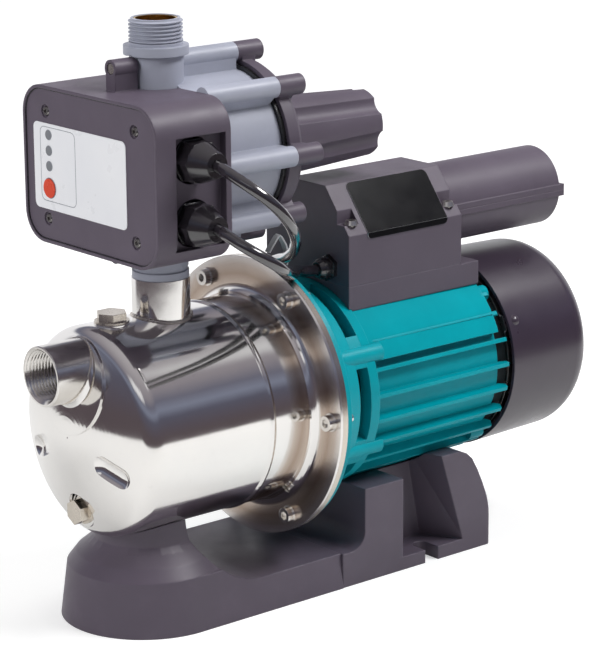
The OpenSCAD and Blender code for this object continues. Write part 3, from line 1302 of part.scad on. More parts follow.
// Points drawn for a shaft at drawn_h: the upper ones follow the shaft, the lowest stay on the ground
drawn_h = 125;
function raised(pts) = [for (p = pts)
    [p[0], p[1], p[2] + (shaft_h - drawn_h) * max(0, min(1, (p[2] - cable_r) / (1.5 * drawn_h)))]];
pump_cable_pts = raised([[-22.2, -74, 262], [-22.2, -80, 262], [-22.2, -86, 262], [-22.9, -95.3, 260.4],
    [-21.8, -103.8, 257.4], [-17.8, -110.6, 253.3], [-11.6, -114.8, 248.6], [-4, -115.9, 243.6],
    [3.7, -113.6, 239.1], [11, -108.3, 235.6], [24, -94.6, 230.2], [43.4, -73.7, 222.3],
    [62.9, -52.8, 215.2], [75.9, -38.9, 212], [82.5, -32.2, 210.4], [90, -26.9, 208],
    [98.8, -23.4, 205.8], [107.7, -22, 205], [113, -22, 205], [117, -22, 205]]);
mains_pts = raised([[-22.2, -74, 300], [-22.2, -80, 300], [-22.2, -86, 300], [-22.9, -94.5, 298.6],
    [-23.1, -102.9, 296.5], [-21.1, -110.5, 293.1], [-17.1, -116.6, 288.7], [-11.8, -120.5, 283.4],
    [-5.8, -121.9, 277.5], [0.3, -121, 271.5], [6.3, -118.2, 265.9], [11.9, -113.9, 260.8],
    [22.9, -102.9, 252.7], [38.4, -83.9, 243.1], [53.3, -64.2, 233.6], [66.4, -43.2, 224.2],
    [79, -21.2, 216.9], [86, -6, 211.5], [93, 14, 202.5], [98, 36, 191], [103.5, 54, 176.5],
    [109, 68.5, 158], [115, 75.5, 140], [118.5, 78.5, 118], [120, 79.5, 90], [121, 79.5, 60],
    [121.5, 79, 34], [124, 78.4, 22], [130.5, 77.2, 12.4], [140, 75.6, 5.9], [152, 73.8, 3.6],
    [174, 71.4, 3.6], [201, 70.5, 3.6]]);
module pump_cable() { color(black) tube(pump_cable_pts, cable_r, 4, 8); }
module mains_cord() { color(black) tube(mains_pts, cable_r, 2, 8); }
coil_mid_r = 42;
coil_layers = 2;
coil_c = [201, 116];
module mains_coil() {
    color(black) translate([coil_c[0], coil_c[1], 0]) rotate_extrude()
        translate([coil_mid_r - 2 * cable_r, 0]) square([4 * cable_r, 2 * cable_r * coil_layers]);
}
// The last turn leaves the coil towards the front, where the plug lies
plug_x = 168;
module mains_plug() {
    mid_y = coil_c[1] + coil_mid_r + cable_r;
    mid_z = 3 * cable_r;
    color(black) {
        translate([plug_x - 17, mid_y, 0]) linear_extrude(24) rounded_rect(34, 26, 6);
        rod_x(plug_x - 2, plug_x + 24, 4.6, mid_y, mid_z);
        for (y = [-8, 6]) translate([plug_x - 51, mid_y + y, 9]) cube([17.5, 2, 6]);
    }
}

base_front();
base_rear();
base_screws();
pump_body();
suction_socket();
discharge_socket();
prime_plug();
drain_plug();
flange_screws();
casing_cover();
body_oring();
diffuser();
ejector_body();
ejector_nozzle();
impeller();
impeller_nut();
seal_seat();
seal_rotary();
motor_bracket();
bearing_races();
motor_casing();
stator_core();
stator_windings();
rotor_shaft();
rotor_core();
bearing_inners();
rear_shield();
tie_rods();
fan();
fan_cover();
terminal_base();
terminal_lid();
capacitor_tray();
capacitor();
terminal_block();
lid_screws();
name_plate();
terminal_gland();
valve_body();
outlet_spigot();
outlet_liner();
diaphragm();
piston();
pressure_spring();
back_cover();
clamp_screws();
check_float();
electronics_box();
front_plate();
plate_screws();
display_label();
status_leds();
circuit_board();
restart_button();
gland_bodies();
gland_nuts();
pump_cable();
mains_cord();
mains_coil();
mains_plug();
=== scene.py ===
"""Scene of the monoblock pump: looks, cords, fine pieces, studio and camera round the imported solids.

X runs along the motor shaft from the suction socket to the fan, Z is up, and the cable glands are on
the -Y side. Blender's objects are in metres; sizes and tables of points are in millimetres where a
comment or docstring says mm.
"""
import json
import math

import bmesh
import bpy
from mathutils import Matrix, Vector

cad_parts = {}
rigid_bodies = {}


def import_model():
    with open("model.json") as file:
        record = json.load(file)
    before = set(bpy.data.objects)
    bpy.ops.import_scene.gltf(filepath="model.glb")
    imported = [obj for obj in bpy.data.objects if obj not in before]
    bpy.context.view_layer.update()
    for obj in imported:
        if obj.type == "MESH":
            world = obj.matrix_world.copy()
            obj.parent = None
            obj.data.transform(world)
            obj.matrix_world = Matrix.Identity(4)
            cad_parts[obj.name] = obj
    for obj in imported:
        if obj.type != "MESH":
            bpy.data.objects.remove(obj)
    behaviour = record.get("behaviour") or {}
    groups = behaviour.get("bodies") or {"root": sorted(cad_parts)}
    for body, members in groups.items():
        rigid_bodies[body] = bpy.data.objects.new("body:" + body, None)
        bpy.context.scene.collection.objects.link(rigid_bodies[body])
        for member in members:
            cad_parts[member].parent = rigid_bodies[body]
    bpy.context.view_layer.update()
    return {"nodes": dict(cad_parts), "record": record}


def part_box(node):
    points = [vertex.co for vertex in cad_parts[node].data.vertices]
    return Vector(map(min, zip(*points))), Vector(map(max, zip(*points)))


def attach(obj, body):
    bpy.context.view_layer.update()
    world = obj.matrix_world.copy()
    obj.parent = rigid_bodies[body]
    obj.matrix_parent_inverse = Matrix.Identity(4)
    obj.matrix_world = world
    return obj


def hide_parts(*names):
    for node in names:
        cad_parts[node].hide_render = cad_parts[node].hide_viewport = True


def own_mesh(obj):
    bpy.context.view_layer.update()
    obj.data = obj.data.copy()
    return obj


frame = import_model()
NODES = frame["nodes"]
SLOT_OF = {s["node"]: s["material_slot"] for s in frame["record"]["subparts"]}
scene = bpy.context.scene

# Heights of the motor shaft and of the suction socket, mm
SHAFT_Z = 125.0
SUCTION_Z = 167.2


def metres(point):
    """A point in mm as one in metres."""
    return [c / 1000 for c in point]


# ---------------------------------------------------------------- camera
CAMERA_AT = (-0.9794, -1.2996, 0.6183)
CAMERA_YAW, CAMERA_PITCH, CAMERA_ROLL = 40.025, 15.122, -0.381  # degrees, the pitch downward
CAMERA_LENS = 162.68


def make_camera():
    yaw, pitch, roll = (math.radians(a) for a in (CAMERA_YAW, CAMERA_PITCH, CAMERA_ROLL))
    look = Vector((math.sin(yaw) * math.cos(pitch), math.cos(yaw) * math.cos(pitch), -math.sin(pitch)))
    level = Vector((math.cos(yaw), -math.sin(yaw), 0))
    above = level.cross(look)
    right = math.cos(roll) * level + math.sin(roll) * above
    up = -math.sin(roll) * level + math.cos(roll) * above
    data = bpy.data.cameras.new("camera")
    data.sensor_width = 36
    data.sensor_fit = "HORIZONTAL"
    data.lens = CAMERA_LENS
    data.clip_end = 50
    camera = bpy.data.objects.new("camera", data)
    scene.collection.objects.link(camera)
    placed = Matrix((right, up, -look)).transposed().to_4x4()
    placed.translation = Vector(CAMERA_AT)
    camera.matrix_world = placed
    scene.camera = camera


# ---------------------------------------------------------------- node helpers
class Nodes:
    """Small helper round the node tree of a material or of the world."""

    def __init__(self, owner):
        owner.use_nodes = True
        self.tree = owner.node_tree

    def add(self, kind, **values):
        node = self.tree.nodes.new(kind)
        for key, value in values.items():
            setattr(node, key, value)
        return node

    def put(self, socket, value):
        """Link an output to a socket, or set a number, a vector or a colour on it."""
        if hasattr(value, "is_output"):
            self.tree.links.new(value, socket)
        elif socket.type == "RGBA":
            socket.default_value = (*value, 1)
        else:
            socket.default_value = value

    def math(self, operation, *values):
        node = self.add("ShaderNodeMath", operation=operation)
        for socket, value in zip(node.inputs, values):
            self.put(socket, value)
        return node.outputs[0]

    def split(self, vector):
        """The X, Y and Z of a vector."""
        node = self.add("ShaderNodeSeparateXYZ")
        self.put(node.inputs[0], vector)
        return node.outputs["X"], node.outputs["Y"], node.outputs["Z"]

    def span(self, value, from_min, from_max, to_min, to_max, **kind):
        """Map a value from one range to another."""
        node = self.add("ShaderNodeMapRange", **kind)
        for key, given in (("Value", value), ("From Min", from_min), ("From Max", from_max),
                           ("To Min", to_min), ("To Max", to_max)):
            self.put(node.inputs[key], given)
        return node.outputs["Result"]

    def ramp(self, fac, stops):
        """Colour ramp; the value of a stop is a grey level or a colour."""
        node = self.add("ShaderNodeValToRGB")
        elements = node.color_ramp.elements
        while len(elements) < len(stops):
            elements.new(0.5)
        for element, (position, value) in zip(elements, stops):
            element.position = position
            if not hasattr(value, "__len__"):
                value = (value, value, value)
            element.color = (*value, 1)
        self.put(node.inputs["Fac"], fac)
        return node.outputs["Color"]

    def mix(self, fac, a, b):
        node = self.add("ShaderNodeMix", data_type="RGBA")
        for index, value in ((0, fac), (6, a), (7, b)):
            self.put(node.inputs[index], value)
        return node.outputs[2]


class Surface(Nodes):
    """A new material, with its Principled shader and the object's own coordinates."""

    def __init__(self, name):
        self.mat = bpy.data.materials.new(name)
        super().__init__(self.mat)
        self.bsdf = self.tree.nodes["Principled BSDF"]
        self.coord = self.add("ShaderNodeTexCoord").outputs["Object"]

    def stretch(self, scale):
        """Own coordinates, scaled apart along X, Y and Z."""
        node = self.add("ShaderNodeMapping")
        self.put(node.inputs["Vector"], self.coord)
        self.put(node.inputs["Scale"], scale)
        return node.outputs["Vector"]

    def noise(self, scale, detail, rough, vector=None):
        node = self.add("ShaderNodeTexNoise")
        for key, value in (("Scale", scale), ("Detail", detail), ("Roughness", rough),
                           ("Vector", vector or self.coord)):
            self.put(node.inputs[key], value)
        return node.outputs["Fac"]

    def patches(self, scale, detail, rough, low, high):
        """Noise turned into patches; low and high are the position and value of a ramp's two stops."""
        return self.ramp(self.noise(scale, detail, rough), [low, high])

    def bump(self, height, strength, distance, normal):
        node = self.add("ShaderNodeBump")
        for key, value in (("Strength", strength), ("Distance", distance), ("Height", height),
                           ("Normal", normal)):
            self.put(node.inputs[key], value)
        return node.outputs["Normal"]

    def bevel(self, radius):
        node = self.add("ShaderNodeBevel", samples=4)
        self.put(node.inputs["Radius"], radius)
        return node.outputs["Normal"]

    def edges(self, radius):
        """1 on sharp edges, 0 on flats."""
        dot = self.add("ShaderNodeVectorMath", operation="DOT_PRODUCT")
        self.put(dot.inputs[0], self.bevel(radius))
        self.put(dot.inputs[1], self.add("ShaderNodeNewGeometry").outputs["Normal"])
        turned = self.math("SUBTRACT", 1.0, dot.outputs["Value"])
        return self.ramp(turned, [(0.02, 0.0), (0.25, 1.0)])

    def set(self, **values):
        """Inputs of the Principled shader, with _ for a space."""
        for key, value in values.items():
            self.put(self.bsdf.inputs[key.replace("_", " ")], value)

    def finish(self, shader):
        """Link a shader to the material's output."""
        self.put(self.tree.nodes["Material Output"].inputs["Surface"], shader)


# ---------------------------------------------------------------- materials
CASING_STEP_X, CASING_STEP_R = 0.2317, 0.0604  # turned step behind the fins, metres
FLANGE_X = 0.0575  # where the pump casing's flange starts, metres


def scaled(color, k):
    return tuple(min(1.0, c * k) for c in color)


def moulded(name, color, rough=(0.42, 0.55), grain=2600, depth=0.35, edge_highlight=1.5, bevel=0.0006,
            level=0.45, dust=0.12, coat=0.0):
    """Moulded plastic: fine spark-eroded grain, faint handling marks, and edges painted lighter as a painted
    highlight.
    """
    n = Surface(name)
    tone = n.mix(n.patches(14, 4, 0.6, (0.3, 0.0), (0.75, 1.0)), scaled(color, 0.9), scaled(color, 1.1))
    tone = n.mix(n.patches(55, 6, 0.7, (0.52, 0.0), (0.8, dust)), tone, scaled(color, 1.9))
    # Painted highlight: the sharp edges are painted lighter than the flats
    tone = n.mix(n.edges(bevel), tone, scaled(color, edge_highlight))
    n.set(Base_Color=tone, Specular_IOR_Level=level)
    n.set(Coat_Weight=coat, Coat_Roughness=rough[0], Coat_IOR=1.9)
    n.set(Roughness=n.patches(38, 5, 0.65, (0.3, rough[0]), (0.75, rough[1])))
    marks = n.noise(1, 3, 0.6, n.stretch((900, 60, 900)))
    normal = n.bump(n.noise(grain, 2, 0.5), depth, 0.00006, n.bevel(bevel))
    n.set(Normal=n.bump(marks, 0.06, 0.00004, normal))
    return n.mat


def metal(name, color, rough, brush, depth, stain):
    """Bare metal with brushing along one way and a few stains."""
    n = Surface(name)
    tone = n.mix(n.patches(30, 5, 0.6, (0.35, 0.0), (0.7, 1.0)), scaled(color, 0.93), color)
    tone = n.mix(n.patches(75, 7, 0.75, (0.56, 0.0), (0.74, 0.5)), tone, stain)
    n.set(Base_Color=tone, Metallic=1.0)
    n.set(Roughness=n.patches(24, 6, 0.7, (0.3, rough[0]), (0.75, rough[1])))
    lines = n.noise(1, 2, 0.6, n.stretch(brush))
    n.set(Normal=n.bump(lines, depth, 0.00003, n.bevel(0.0004)))
    return n.mat


def shaft_place(n):
    """Place along the motor shaft and distance from it, metres, in the object's own frame."""
    x, y, z = n.split(n.coord)
    up = n.math("SUBTRACT", z, SHAFT_Z / 1000)
    square = n.math("ADD", n.math("MULTIPLY", up, up), n.math("MULTIPLY", y, y))
    return x, n.math("SQRT", square)


def painted(name, color, shaded_step=False):
    """Satin enamel over a casting: orange peel, painted shade in the corners, a painted highlight on the edges,
    chipped on worn edges.
    """
    n = Surface(name)
    tone = n.mix(n.patches(18, 4, 0.6, (0.3, 0.0), (0.75, 1.0)), scaled(color, 0.88), scaled(color, 1.08))
    # Painted shade: the paint is darkened where ambient occlusion finds corners and creases
    corners = n.add("ShaderNodeAmbientOcclusion", samples=4)
    n.put(corners.inputs["Distance"], 0.006)
    tone = n.mix(n.ramp(corners.outputs["AO"], [(0.2, 0.45), (0.6, 0.0)]), tone, scaled(color, 0.4))
    edge = n.edges(0.0006)
    # Painted highlight: the sharp edges are painted a lighter, brighter tone of the paint
    tone = n.mix(edge, tone, (color[0] + 0.04, min(1, color[1] * 1.3), min(1, color[2] * 1.25)))
    chip = n.math("MULTIPLY", edge, n.patches(110, 5, 0.75, (0.67, 0.0), (0.71, 0.8)))
    tone = n.mix(chip, tone, (0.60, 0.64, 0.64))
    if shaded_step:
        # Painted shadow: the turned step behind the fins is coloured near black for the shade under the fan
        # cover
        along, radius = shaft_place(n)
        bare = n.math("MULTIPLY", n.math("GREATER_THAN", along, CASING_STEP_X),
                      n.math("LESS_THAN", radius, CASING_STEP_R))
        tone = n.mix(bare, tone, (0.012, 0.016, 0.018))
    n.set(Base_Color=tone, Specular_IOR_Level=0.2)
    n.set(Roughness=n.patches(60, 5, 0.6, (0.3, 0.34), (0.75, 0.5)))
    normal = n.bump(n.noise(900, 2, 0.5), 0.25, 0.00005, n.bevel(0.0006))
    n.set(Normal=n.bump(n.noise(160, 3, 0.6), 0.2, 0.00012, normal))
    return n.mat


def polished_steel(name, flange=False):
    """Deep-drawn stainless sheet, polished, with slow waves and fine rubbing marks."""
    n = Surface(name)
    tone = n.mix(n.patches(9, 6, 0.7, (0.35, 0.0), (0.75, 1.0)), (0.86, 0.84, 0.81), (0.80, 0.785, 0.77))
    tone = n.mix(n.patches(260, 4, 0.7, (0.6, 0.0), (0.85, 0.35)), tone, (0.62, 0.60, 0.57))
    smooth = n.patches(16, 7, 0.72, (0.3, 0.06), (0.8, 0.16))
    if flange:
        # The flange is left as drawn: satin, and faintly bronzed; its radius is taken in decimetres
        along, radius = shaft_place(n)
        radius = n.math("MULTIPLY", radius, 10)
        rim = n.math("MULTIPLY", n.math("GREATER_THAN", along, FLANGE_X),
                     n.ramp(radius, [(0.703, 0.0), (0.722, 1.0)]))
        heat = n.ramp(radius, [(0.72, (0.62, 0.53, 0.46)), (0.79, (0.47, 0.37, 0.30)),
                               (0.85, (0.60, 0.52, 0.46)), (0.90, (0.84, 0.81, 0.78))])
        tone = n.mix(rim, tone, heat)
        smooth = n.mix(rim, smooth, n.patches(22, 3, 0.5, (0.3, 0.20), (0.75, 0.27)))
    n.set(Base_Color=tone, Metallic=1.0, Roughness=smooth)
    rub = n.noise(1, 3, 0.65, n.stretch((60, 1600, 1600)))
    scratch = n.noise(1, 4, 0.7, n.stretch((1700, 30, 30)))
    normal = n.bump(rub, 0.08, 0.00003, n.bevel(0.0004))
    normal = n.bump(scratch, 0.16, 0.00003, normal)
    n.set(Normal=n.bump(n.noise(26, 2, 0.45), 0.16, 0.0011, normal))
    return n.mat


def turned_steel(name):
    """Stainless bar turned round X: fine tool rings, a little dull."""
    n = Surface(name)
    tone = n.mix(n.patches(60, 5, 0.65, (0.35, 0.0), (0.75, 1.0)), (0.80, 0.78, 0.75), (0.70, 0.67, 0.63))
    n.set(Base_Color=tone, Metallic=1.0)
    n.set(Roughness=n.patches(90, 5, 0.7, (0.3, 0.14), (0.75, 0.27)))
    rings = n.noise(1, 2, 0.6, n.stretch((5200, 40, 40)))
    n.set(Normal=n.bump(rings, 0.22, 0.00004, n.bevel(0.0003)))
    return n.mat


def rubber(name, color, rough=(0.22, 0.38), coat=0.0):
    """Soft black rubber or cable sheath, a little uneven."""
    n = Surface(name)
    tone = n.mix(n.patches(60, 5, 0.6, (0.35, 0.0), (0.75, 1.0)), scaled(color, 0.8), scaled(color, 1.4))
    n.set(Base_Color=tone, Specular_IOR_Level=0.6)
    n.set(Coat_Weight=coat, Coat_Roughness=rough[0], Coat_IOR=1.9)
    n.set(Roughness=n.patches(120, 5, 0.7, (0.3, rough[0]), (0.75, rough[1])))
    normal = n.bump(n.noise(1400, 2, 0.5), 0.15, 0.00004, n.bevel(0.0004))
    n.set(Normal=n.bump(n.noise(140, 3, 0.6), 0.15, 0.0001, normal))
    return n.mat


def printed_film(name):
    """Printed film, faintly bluish, with a soft sheen and a few rubbed spots."""
    n = Surface(name)
    tone = n.mix(n.patches(20, 3, 0.5, (0.3, 0.0), (0.8, 1.0)), (0.82, 0.83, 0.87), (0.88, 0.885, 0.91))
    tone = n.mix(n.patches(90, 6, 0.7, (0.62, 0.0), (0.82, 0.12)), tone, (0.70, 0.72, 0.77))
    n.set(Base_Color=tone, Coat_Weight=0.3, Coat_Roughness=0.15)
    n.set(Roughness=n.patches(70, 4, 0.6, (0.3, 0.26), (0.75, 0.4)))
    n.set(Normal=n.bump(n.noise(500, 2, 0.5), 0.1, 0.00004, n.bevel(0.0002)))
    return n.mat


def black_plate(name):
    """Black printed plate whose cut sides and lower edge show bright metal."""
    n = Surface(name)
    x, _, z = n.split(n.add("ShaderNodeNewGeometry").outputs["True Normal"])
    side = n.math("GREATER_THAN", n.math("ABSOLUTE", x), 0.5)
    cut = n.math("MAXIMUM", side, n.math("LESS_THAN", z, -0.5))
    tone = n.mix(n.patches(45, 5, 0.65, (0.35, 0.0), (0.8, 1.0)), (0.004, 0.004, 0.005),
                 (0.009, 0.009, 0.011))
    tone = n.mix(n.patches(420, 5, 0.7, (0.7, 0.0), (0.84, 0.4)), tone, (0.09, 0.09, 0.10))
    n.set(Base_Color=n.mix(cut, tone, (0.72, 0.73, 0.75)), Specular_IOR_Level=0.08)
    n.set(Roughness=n.patches(80, 5, 0.6, (0.3, 0.16), (0.75, 0.26)))
    n.set(Normal=n.bump(n.noise(700, 2, 0.5), 0.12, 0.00004, n.bevel(0.00025)))
    return n.mat


def stacked(name, color, pitch_scale):
    """Stacked sheet or wound wire: fine lines across X."""
    n = Surface(name)
    wave = n.add("ShaderNodeTexWave", bands_direction="X")
    for key, value in (("Vector", n.coord), ("Scale", pitch_scale), ("Distortion", 0.4)):
        n.put(wave.inputs[key], value)
    lines = wave.outputs["Fac"]
    n.set(Base_Color=n.mix(lines, scaled(color, 0.6), scaled(color, 1.1)), Metallic=1.0)
    n.set(Roughness=n.patches(80, 4, 0.6, (0.3, 0.35), (0.75, 0.55)))
    n.set(Normal=n.bump(lines, 0.4, 0.0002, n.bevel(0.0004)))
    return n.mat


CHARCOAL = (0.100, 0.081, 0.110)
TEAL = (0.0, 0.35, 0.42)
# What each moulding has of its own; the rest is as moulded() has it
PLASTICS = {
    "dark_plastic": dict(color=CHARCOAL, edge_highlight=1.35, bevel=0.0011),
    "base_plastic": dict(color=CHARCOAL, rough=(0.36, 0.5), grain=1700, depth=0.3, edge_highlight=1.4,
                         bevel=0.0015),
    "black_plastic": dict(color=(0.016, 0.016, 0.018), rough=(0.3, 0.45), grain=1800, depth=0.25,
                          edge_highlight=2.2),
    "gland_black": dict(color=(0.014, 0.012, 0.015), rough=(0.15, 0.24), grain=1400, depth=0.12,
                        edge_highlight=2.5, bevel=0.0008, level=0.6, dust=0.04, coat=0.5),
    "fan_black": dict(color=(0.038, 0.026, 0.043), rough=(0.26, 0.38), grain=1900, depth=0.3,
                      edge_highlight=1.7, coat=0.3),
    "blue_grey_plastic": dict(color=(0.375, 0.39, 0.47), rough=(0.38, 0.5), grain=1500, depth=0.2,
                              edge_highlight=1.25, dust=0.06),
    "pale_plastic": dict(color=(0.70, 0.68, 0.60), rough=(0.35, 0.5), grain=1500, depth=0.15,
                         edge_highlight=1.1, dust=0.05),
    "red_button": dict(color=(0.72, 0.075, 0.035), rough=(0.24, 0.36), grain=900, depth=0.1,
                       edge_highlight=1.15, dust=0.03),
    "led_grey": dict(color=(0.22, 0.23, 0.25), rough=(0.16, 0.28), grain=900, depth=0.1,
                     edge_highlight=1.4, dust=0.05),
    "print_grey": dict(color=(0.30, 0.32, 0.36), rough=(0.3, 0.4), grain=900, depth=0.1,
                       edge_highlight=1.1, dust=0.03),
    "clip_grey": dict(color=(0.42, 0.43, 0.45), rough=(0.3, 0.45), grain=900, depth=0.1,
                      edge_highlight=1.3, dust=0.05),
    "ceramic": dict(color=(0.82, 0.80, 0.75), rough=(0.2, 0.32), grain=900, depth=0.1,
                    edge_highlight=1.05, dust=0.03),
    "board_green": dict(color=(0.03, 0.14, 0.06), rough=(0.25, 0.4), grain=1200, depth=0.1,
                        edge_highlight=1.3, dust=0.05),
}
# Colour, roughness from and to, brushing along X, Y and Z, its depth, colour of the stains
METALS = {
    "machined_steel": ((0.82, 0.79, 0.75), (0.15, 0.26), (900, 900, 900), 0.25, (0.35, 0.33, 0.30)),
    "zinc_screw": ((0.76, 0.74, 0.68), (0.22, 0.36), (500, 500, 500), 0.2, (0.45, 0.42, 0.34)),
    "dark_screw": ((0.30, 0.29, 0.28), (0.22, 0.36), (500, 500, 500), 0.2, (0.12, 0.11, 0.10)),
    "light_alloy": ((0.70, 0.64, 0.56), (0.2, 0.34), (200, 900, 900), 0.35, (0.5, 0.46, 0.38)),
    "weld_bead": ((0.66, 0.61, 0.55), (0.2, 0.36), (700, 700, 700), 0.5, (0.34, 0.27, 0.2)),
    "brass": ((0.90, 0.62, 0.24), (0.16, 0.3), (300, 300, 900), 0.25, (0.5, 0.34, 0.12)),
}


def build_materials():
    mats = {name: moulded(name, **look) for name, look in PLASTICS.items()}
    mats.update({name: metal(name, *look) for name, look in METALS.items()})
    mats["stainless"] = polished_steel("stainless")
    mats["stainless_casing"] = polished_steel("stainless_casing", flange=True)
    mats["turned_steel"] = turned_steel("turned_steel")
    mats["teal_paint"] = painted("teal_paint", TEAL)
    # The finned casing carries a painted shadow on the turned step under the fan cover
    mats["teal_casing"] = painted("teal_casing", TEAL, shaded_step=True)
    mats["label_film"] = printed_film("label_film")
    mats["plate_black"] = black_plate("plate_black")
    mats["rubber"] = rubber("rubber", (0.014, 0.014, 0.015))
    mats["cord_black"] = rubber("cord_black", (0.016, 0.013, 0.017), (0.12, 0.2), coat=0.9)
    mats["lamination"] = stacked("lamination", (0.36, 0.36, 0.37), 600)
    mats["copper_winding"] = stacked("copper_winding", (0.55, 0.24, 0.09), 300)
    return mats


MATS = build_materials()
# Nodes whose look is finer than the slot that the record gives them; the rear shield's dark metal is painted
# shade for the dark gap under the fan cover's rim
OWN_LOOK = {
    "pump_body": "stainless_casing", "motor_casing": "teal_casing", "rear_shield": "dark_screw",
    "plate_screws": "dark_screw", "base_front": "base_plastic", "base_rear": "base_plastic",
    "fan_cover": "fan_black", "fan": "fan_black", "gland_bodies": "gland_black",
    "gland_nuts": "gland_black", "terminal_gland": "gland_black",
}


def dress_nodes():
    for name, obj in NODES.items():
        obj.data.materials.clear()
        obj.data.materials.append(MATS[OWN_LOOK.get(name, SLOT_OF[name])])


# ---------------------------------------------------------------- mesh helpers
def finish_mesh(name, bm, slot, angle=35, look=None):
    """Make a piece of the frame body; edges sharper than the angle stay sharp."""
    bmesh.ops.recalc_face_normals(bm, faces=bm.faces)
    mesh = bpy.data.meshes.new(name)
    bm.to_mesh(mesh)
    bm.free()
    for poly in mesh.polygons:
        poly.use_smooth = True
    mesh.set_sharp_from_angle(angle=math.radians(angle))
    obj = bpy.data.objects.new(name, mesh)
    scene.collection.objects.link(obj)
    mesh.materials.append(MATS[look or slot])
    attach(obj, "frame")
    return obj


def circle(count):
    return [(math.cos(2 * math.pi * j / count), math.sin(2 * math.pi * j / count)) for j in range(count)]


def rounded_loop(half_w, half_h, corner, steps):
    """Rectangle with rounded corners, anticlockwise."""
    loop = []
    for sx, sy, start in ((1, 1, 0), (-1, 1, 90), (-1, -1, 180), (1, -1, 270)):
        for k in range(steps + 1):
            a = math.radians(start + 90 * k / steps)
            loop.append((sx * (half_w - corner) + corner * math.cos(a),
                         sy * (half_h - corner) + corner * math.sin(a)))
    return loop


def skin(bm, rings, closed=False):
    """Faces between neighbouring rings; closed joins the last ring to the first."""
    for a, b in zip(rings, rings[1:] + rings[:1] if closed else rings[1:]):
        for j in range(len(a)):
            k = (j + 1) % len(a)
            bm.faces.new((a[j], a[k], b[k], b[j]))
    if not closed:
        bm.faces.new(rings[0][::-1])
        bm.faces.new(rings[-1])


def sweep(bm, points, scale, section, closed=False, side=None):
    """Section carried along points in metres without twisting; the scale is one number or one for each."""
    points = [Vector(p) for p in points]
    count = len(points)
    if not hasattr(scale, "__len__"):
        scale = [scale] * count
    ways = []
    for i in range(count):
        before = points[(i - 1) % count] if closed or i > 0 else points[i]
        after = points[(i + 1) % count] if closed or i < count - 1 else points[i]
        ways.append((after - before).normalized())
    if side is None:
        side = ways[0].cross(Vector((0, 0, 1)))
        if side.length < 0.1:
            side = ways[0].cross(Vector((1, 0, 0)))
    side = Vector(side).normalized()
    rings = []
    for point, way, size in zip(points, ways, scale):
        side = (side - side.dot(way) * way).normalized()
        other = way.cross(side)
        rings.append([bm.verts.new(point + size * (side * u + other * v)) for u, v in section])
    skin(bm, rings, closed)


def lathe(bm, profile, origin, axis, steps):
    """Profile of (radius, place along the axis) in metres, turned round the axis."""
    axis = Vector(axis).normalized()
    side = axis.orthogonal().normalized()
    other = axis.cross(side)
    rings = []
    for r, h in profile:
        middle = Vector(origin) + axis * h
        if r < 1e-7:
            rings.append([bm.verts.new(middle)])
        else:
            rings.append([bm.verts.new(middle + r * (side * u + other * v)) for u, v in circle(steps)])
    for a, b in zip(rings, rings[1:]):
        for j in range(steps):
            k = (j + 1) % steps
            if len(a) == 1:
                bm.faces.new((a[0], b[k], b[j]))
            elif len(b) == 1:
                bm.faces.new((a[j], a[k], b[0]))
            else:
                bm.faces.new((a[j], a[k], b[k], b[j]))


# ---------------------------------------------------------------- cords
CABLE_D = 0.007
# Mains lead from the upper gland's mouth down behind the motor to the floor, mm
MAINS_ROUTE = [
    [-22.2, -86.2, 300], [-22.9, -94.5, 298.6], [-23.1, -102.9, 296.5], [-21.1, -110.5, 293.1],
    [-17.1, -116.6, 288.7], [-11.8, -120.5, 283.4], [-5.8, -121.9, 277.5], [0.3, -121, 271.5],
    [6.3, -118.2, 265.9], [11.9, -113.9, 260.8], [22.9, -102.9, 252.7], [38.4, -83.9, 243.1],
    [53.3, -64.2, 233.6], [66.4, -43.2, 224.2], [79, -21.2, 216.9], [86, -6, 211.5],
    [93, 14, 202.5], [98, 36, 191], [103.5, 54, 176.5], [109, 68.5, 158], [115, 75.5, 140],
    [118.5, 78.5, 118], [120, 79.5, 90], [121, 79.5, 60], [121.5, 79, 34], [124, 78.4, 22],
    [130.5, 77.2, 12.4], [140, 75.6, 5.9], [146, 74.7, 4.3], [152, 73.8, 3.7], [162, 72.5, 3.6],
    [174, 71.4, 3.6], [187, 70.7, 3.6], [201, 70.5, 3.6]]
# What the lead has inside its gland, mm
STUB_ROUTE = [[-22.2, -66, 300], [-22.2, -76, 300], [-22.2, -86.4, 300]]
# Cable from the lower gland to the terminal box, mm
MOTOR_ROUTE = [
    [-22.2, -74, 262], [-22.2, -80, 262], [-22.2, -86, 262], [-22.9, -95.3, 260.4],
    [-21.8, -103.8, 257.4], [-17.8, -110.6, 253.3], [-11.6, -114.8, 248.6], [-4, -115.9, 243.6],
    [3.7, -113.6, 239.1], [11, -108.3, 235.6], [24, -94.6, 230.2], [43.4, -73.7, 222.3],
    [62.9, -52.8, 215.2], [75.9, -38.9, 212], [82.5, -32.2, 210.4], [90, -26.9, 208],
    [98.8, -23.4, 205.8], [107.7, -22, 205], [113, -22, 205], [117, -22, 205]]
# Coil on the floor, mm: its middle, the radius of its outer turns, one turn to the next
COIL_C = (201.0, 116.0)
COIL_R = 45.5
COIL_LAP = 7.05
# Axis of the lead where it goes into the plug, mm
PLUG_Y, PLUG_Z = 161.5, 10.5


def ease(t):
    t = min(1.0, max(0.0, t))
    return t * t * (3 - 2 * t)


def coil_points():
    """Two turns side by side on the ground, then one and a half on top of them, on to the plug; mm."""
    points = []
    for turned in range(15, 1261, 15):
        r = COIL_R - COIL_LAP * ease((turned - 305) / 75) + COIL_LAP * ease((turned - 1030) / 75)
        z = 3.55 + COIL_LAP * ease((turned - 655) / 75)
        a = math.radians(turned - 90)
        points.append([COIL_C[0] + r * math.cos(a), COIL_C[1] + r * math.sin(a), z])
    return points + [[196.0, PLUG_Y, 10.55], [189.0, PLUG_Y, PLUG_Z]]


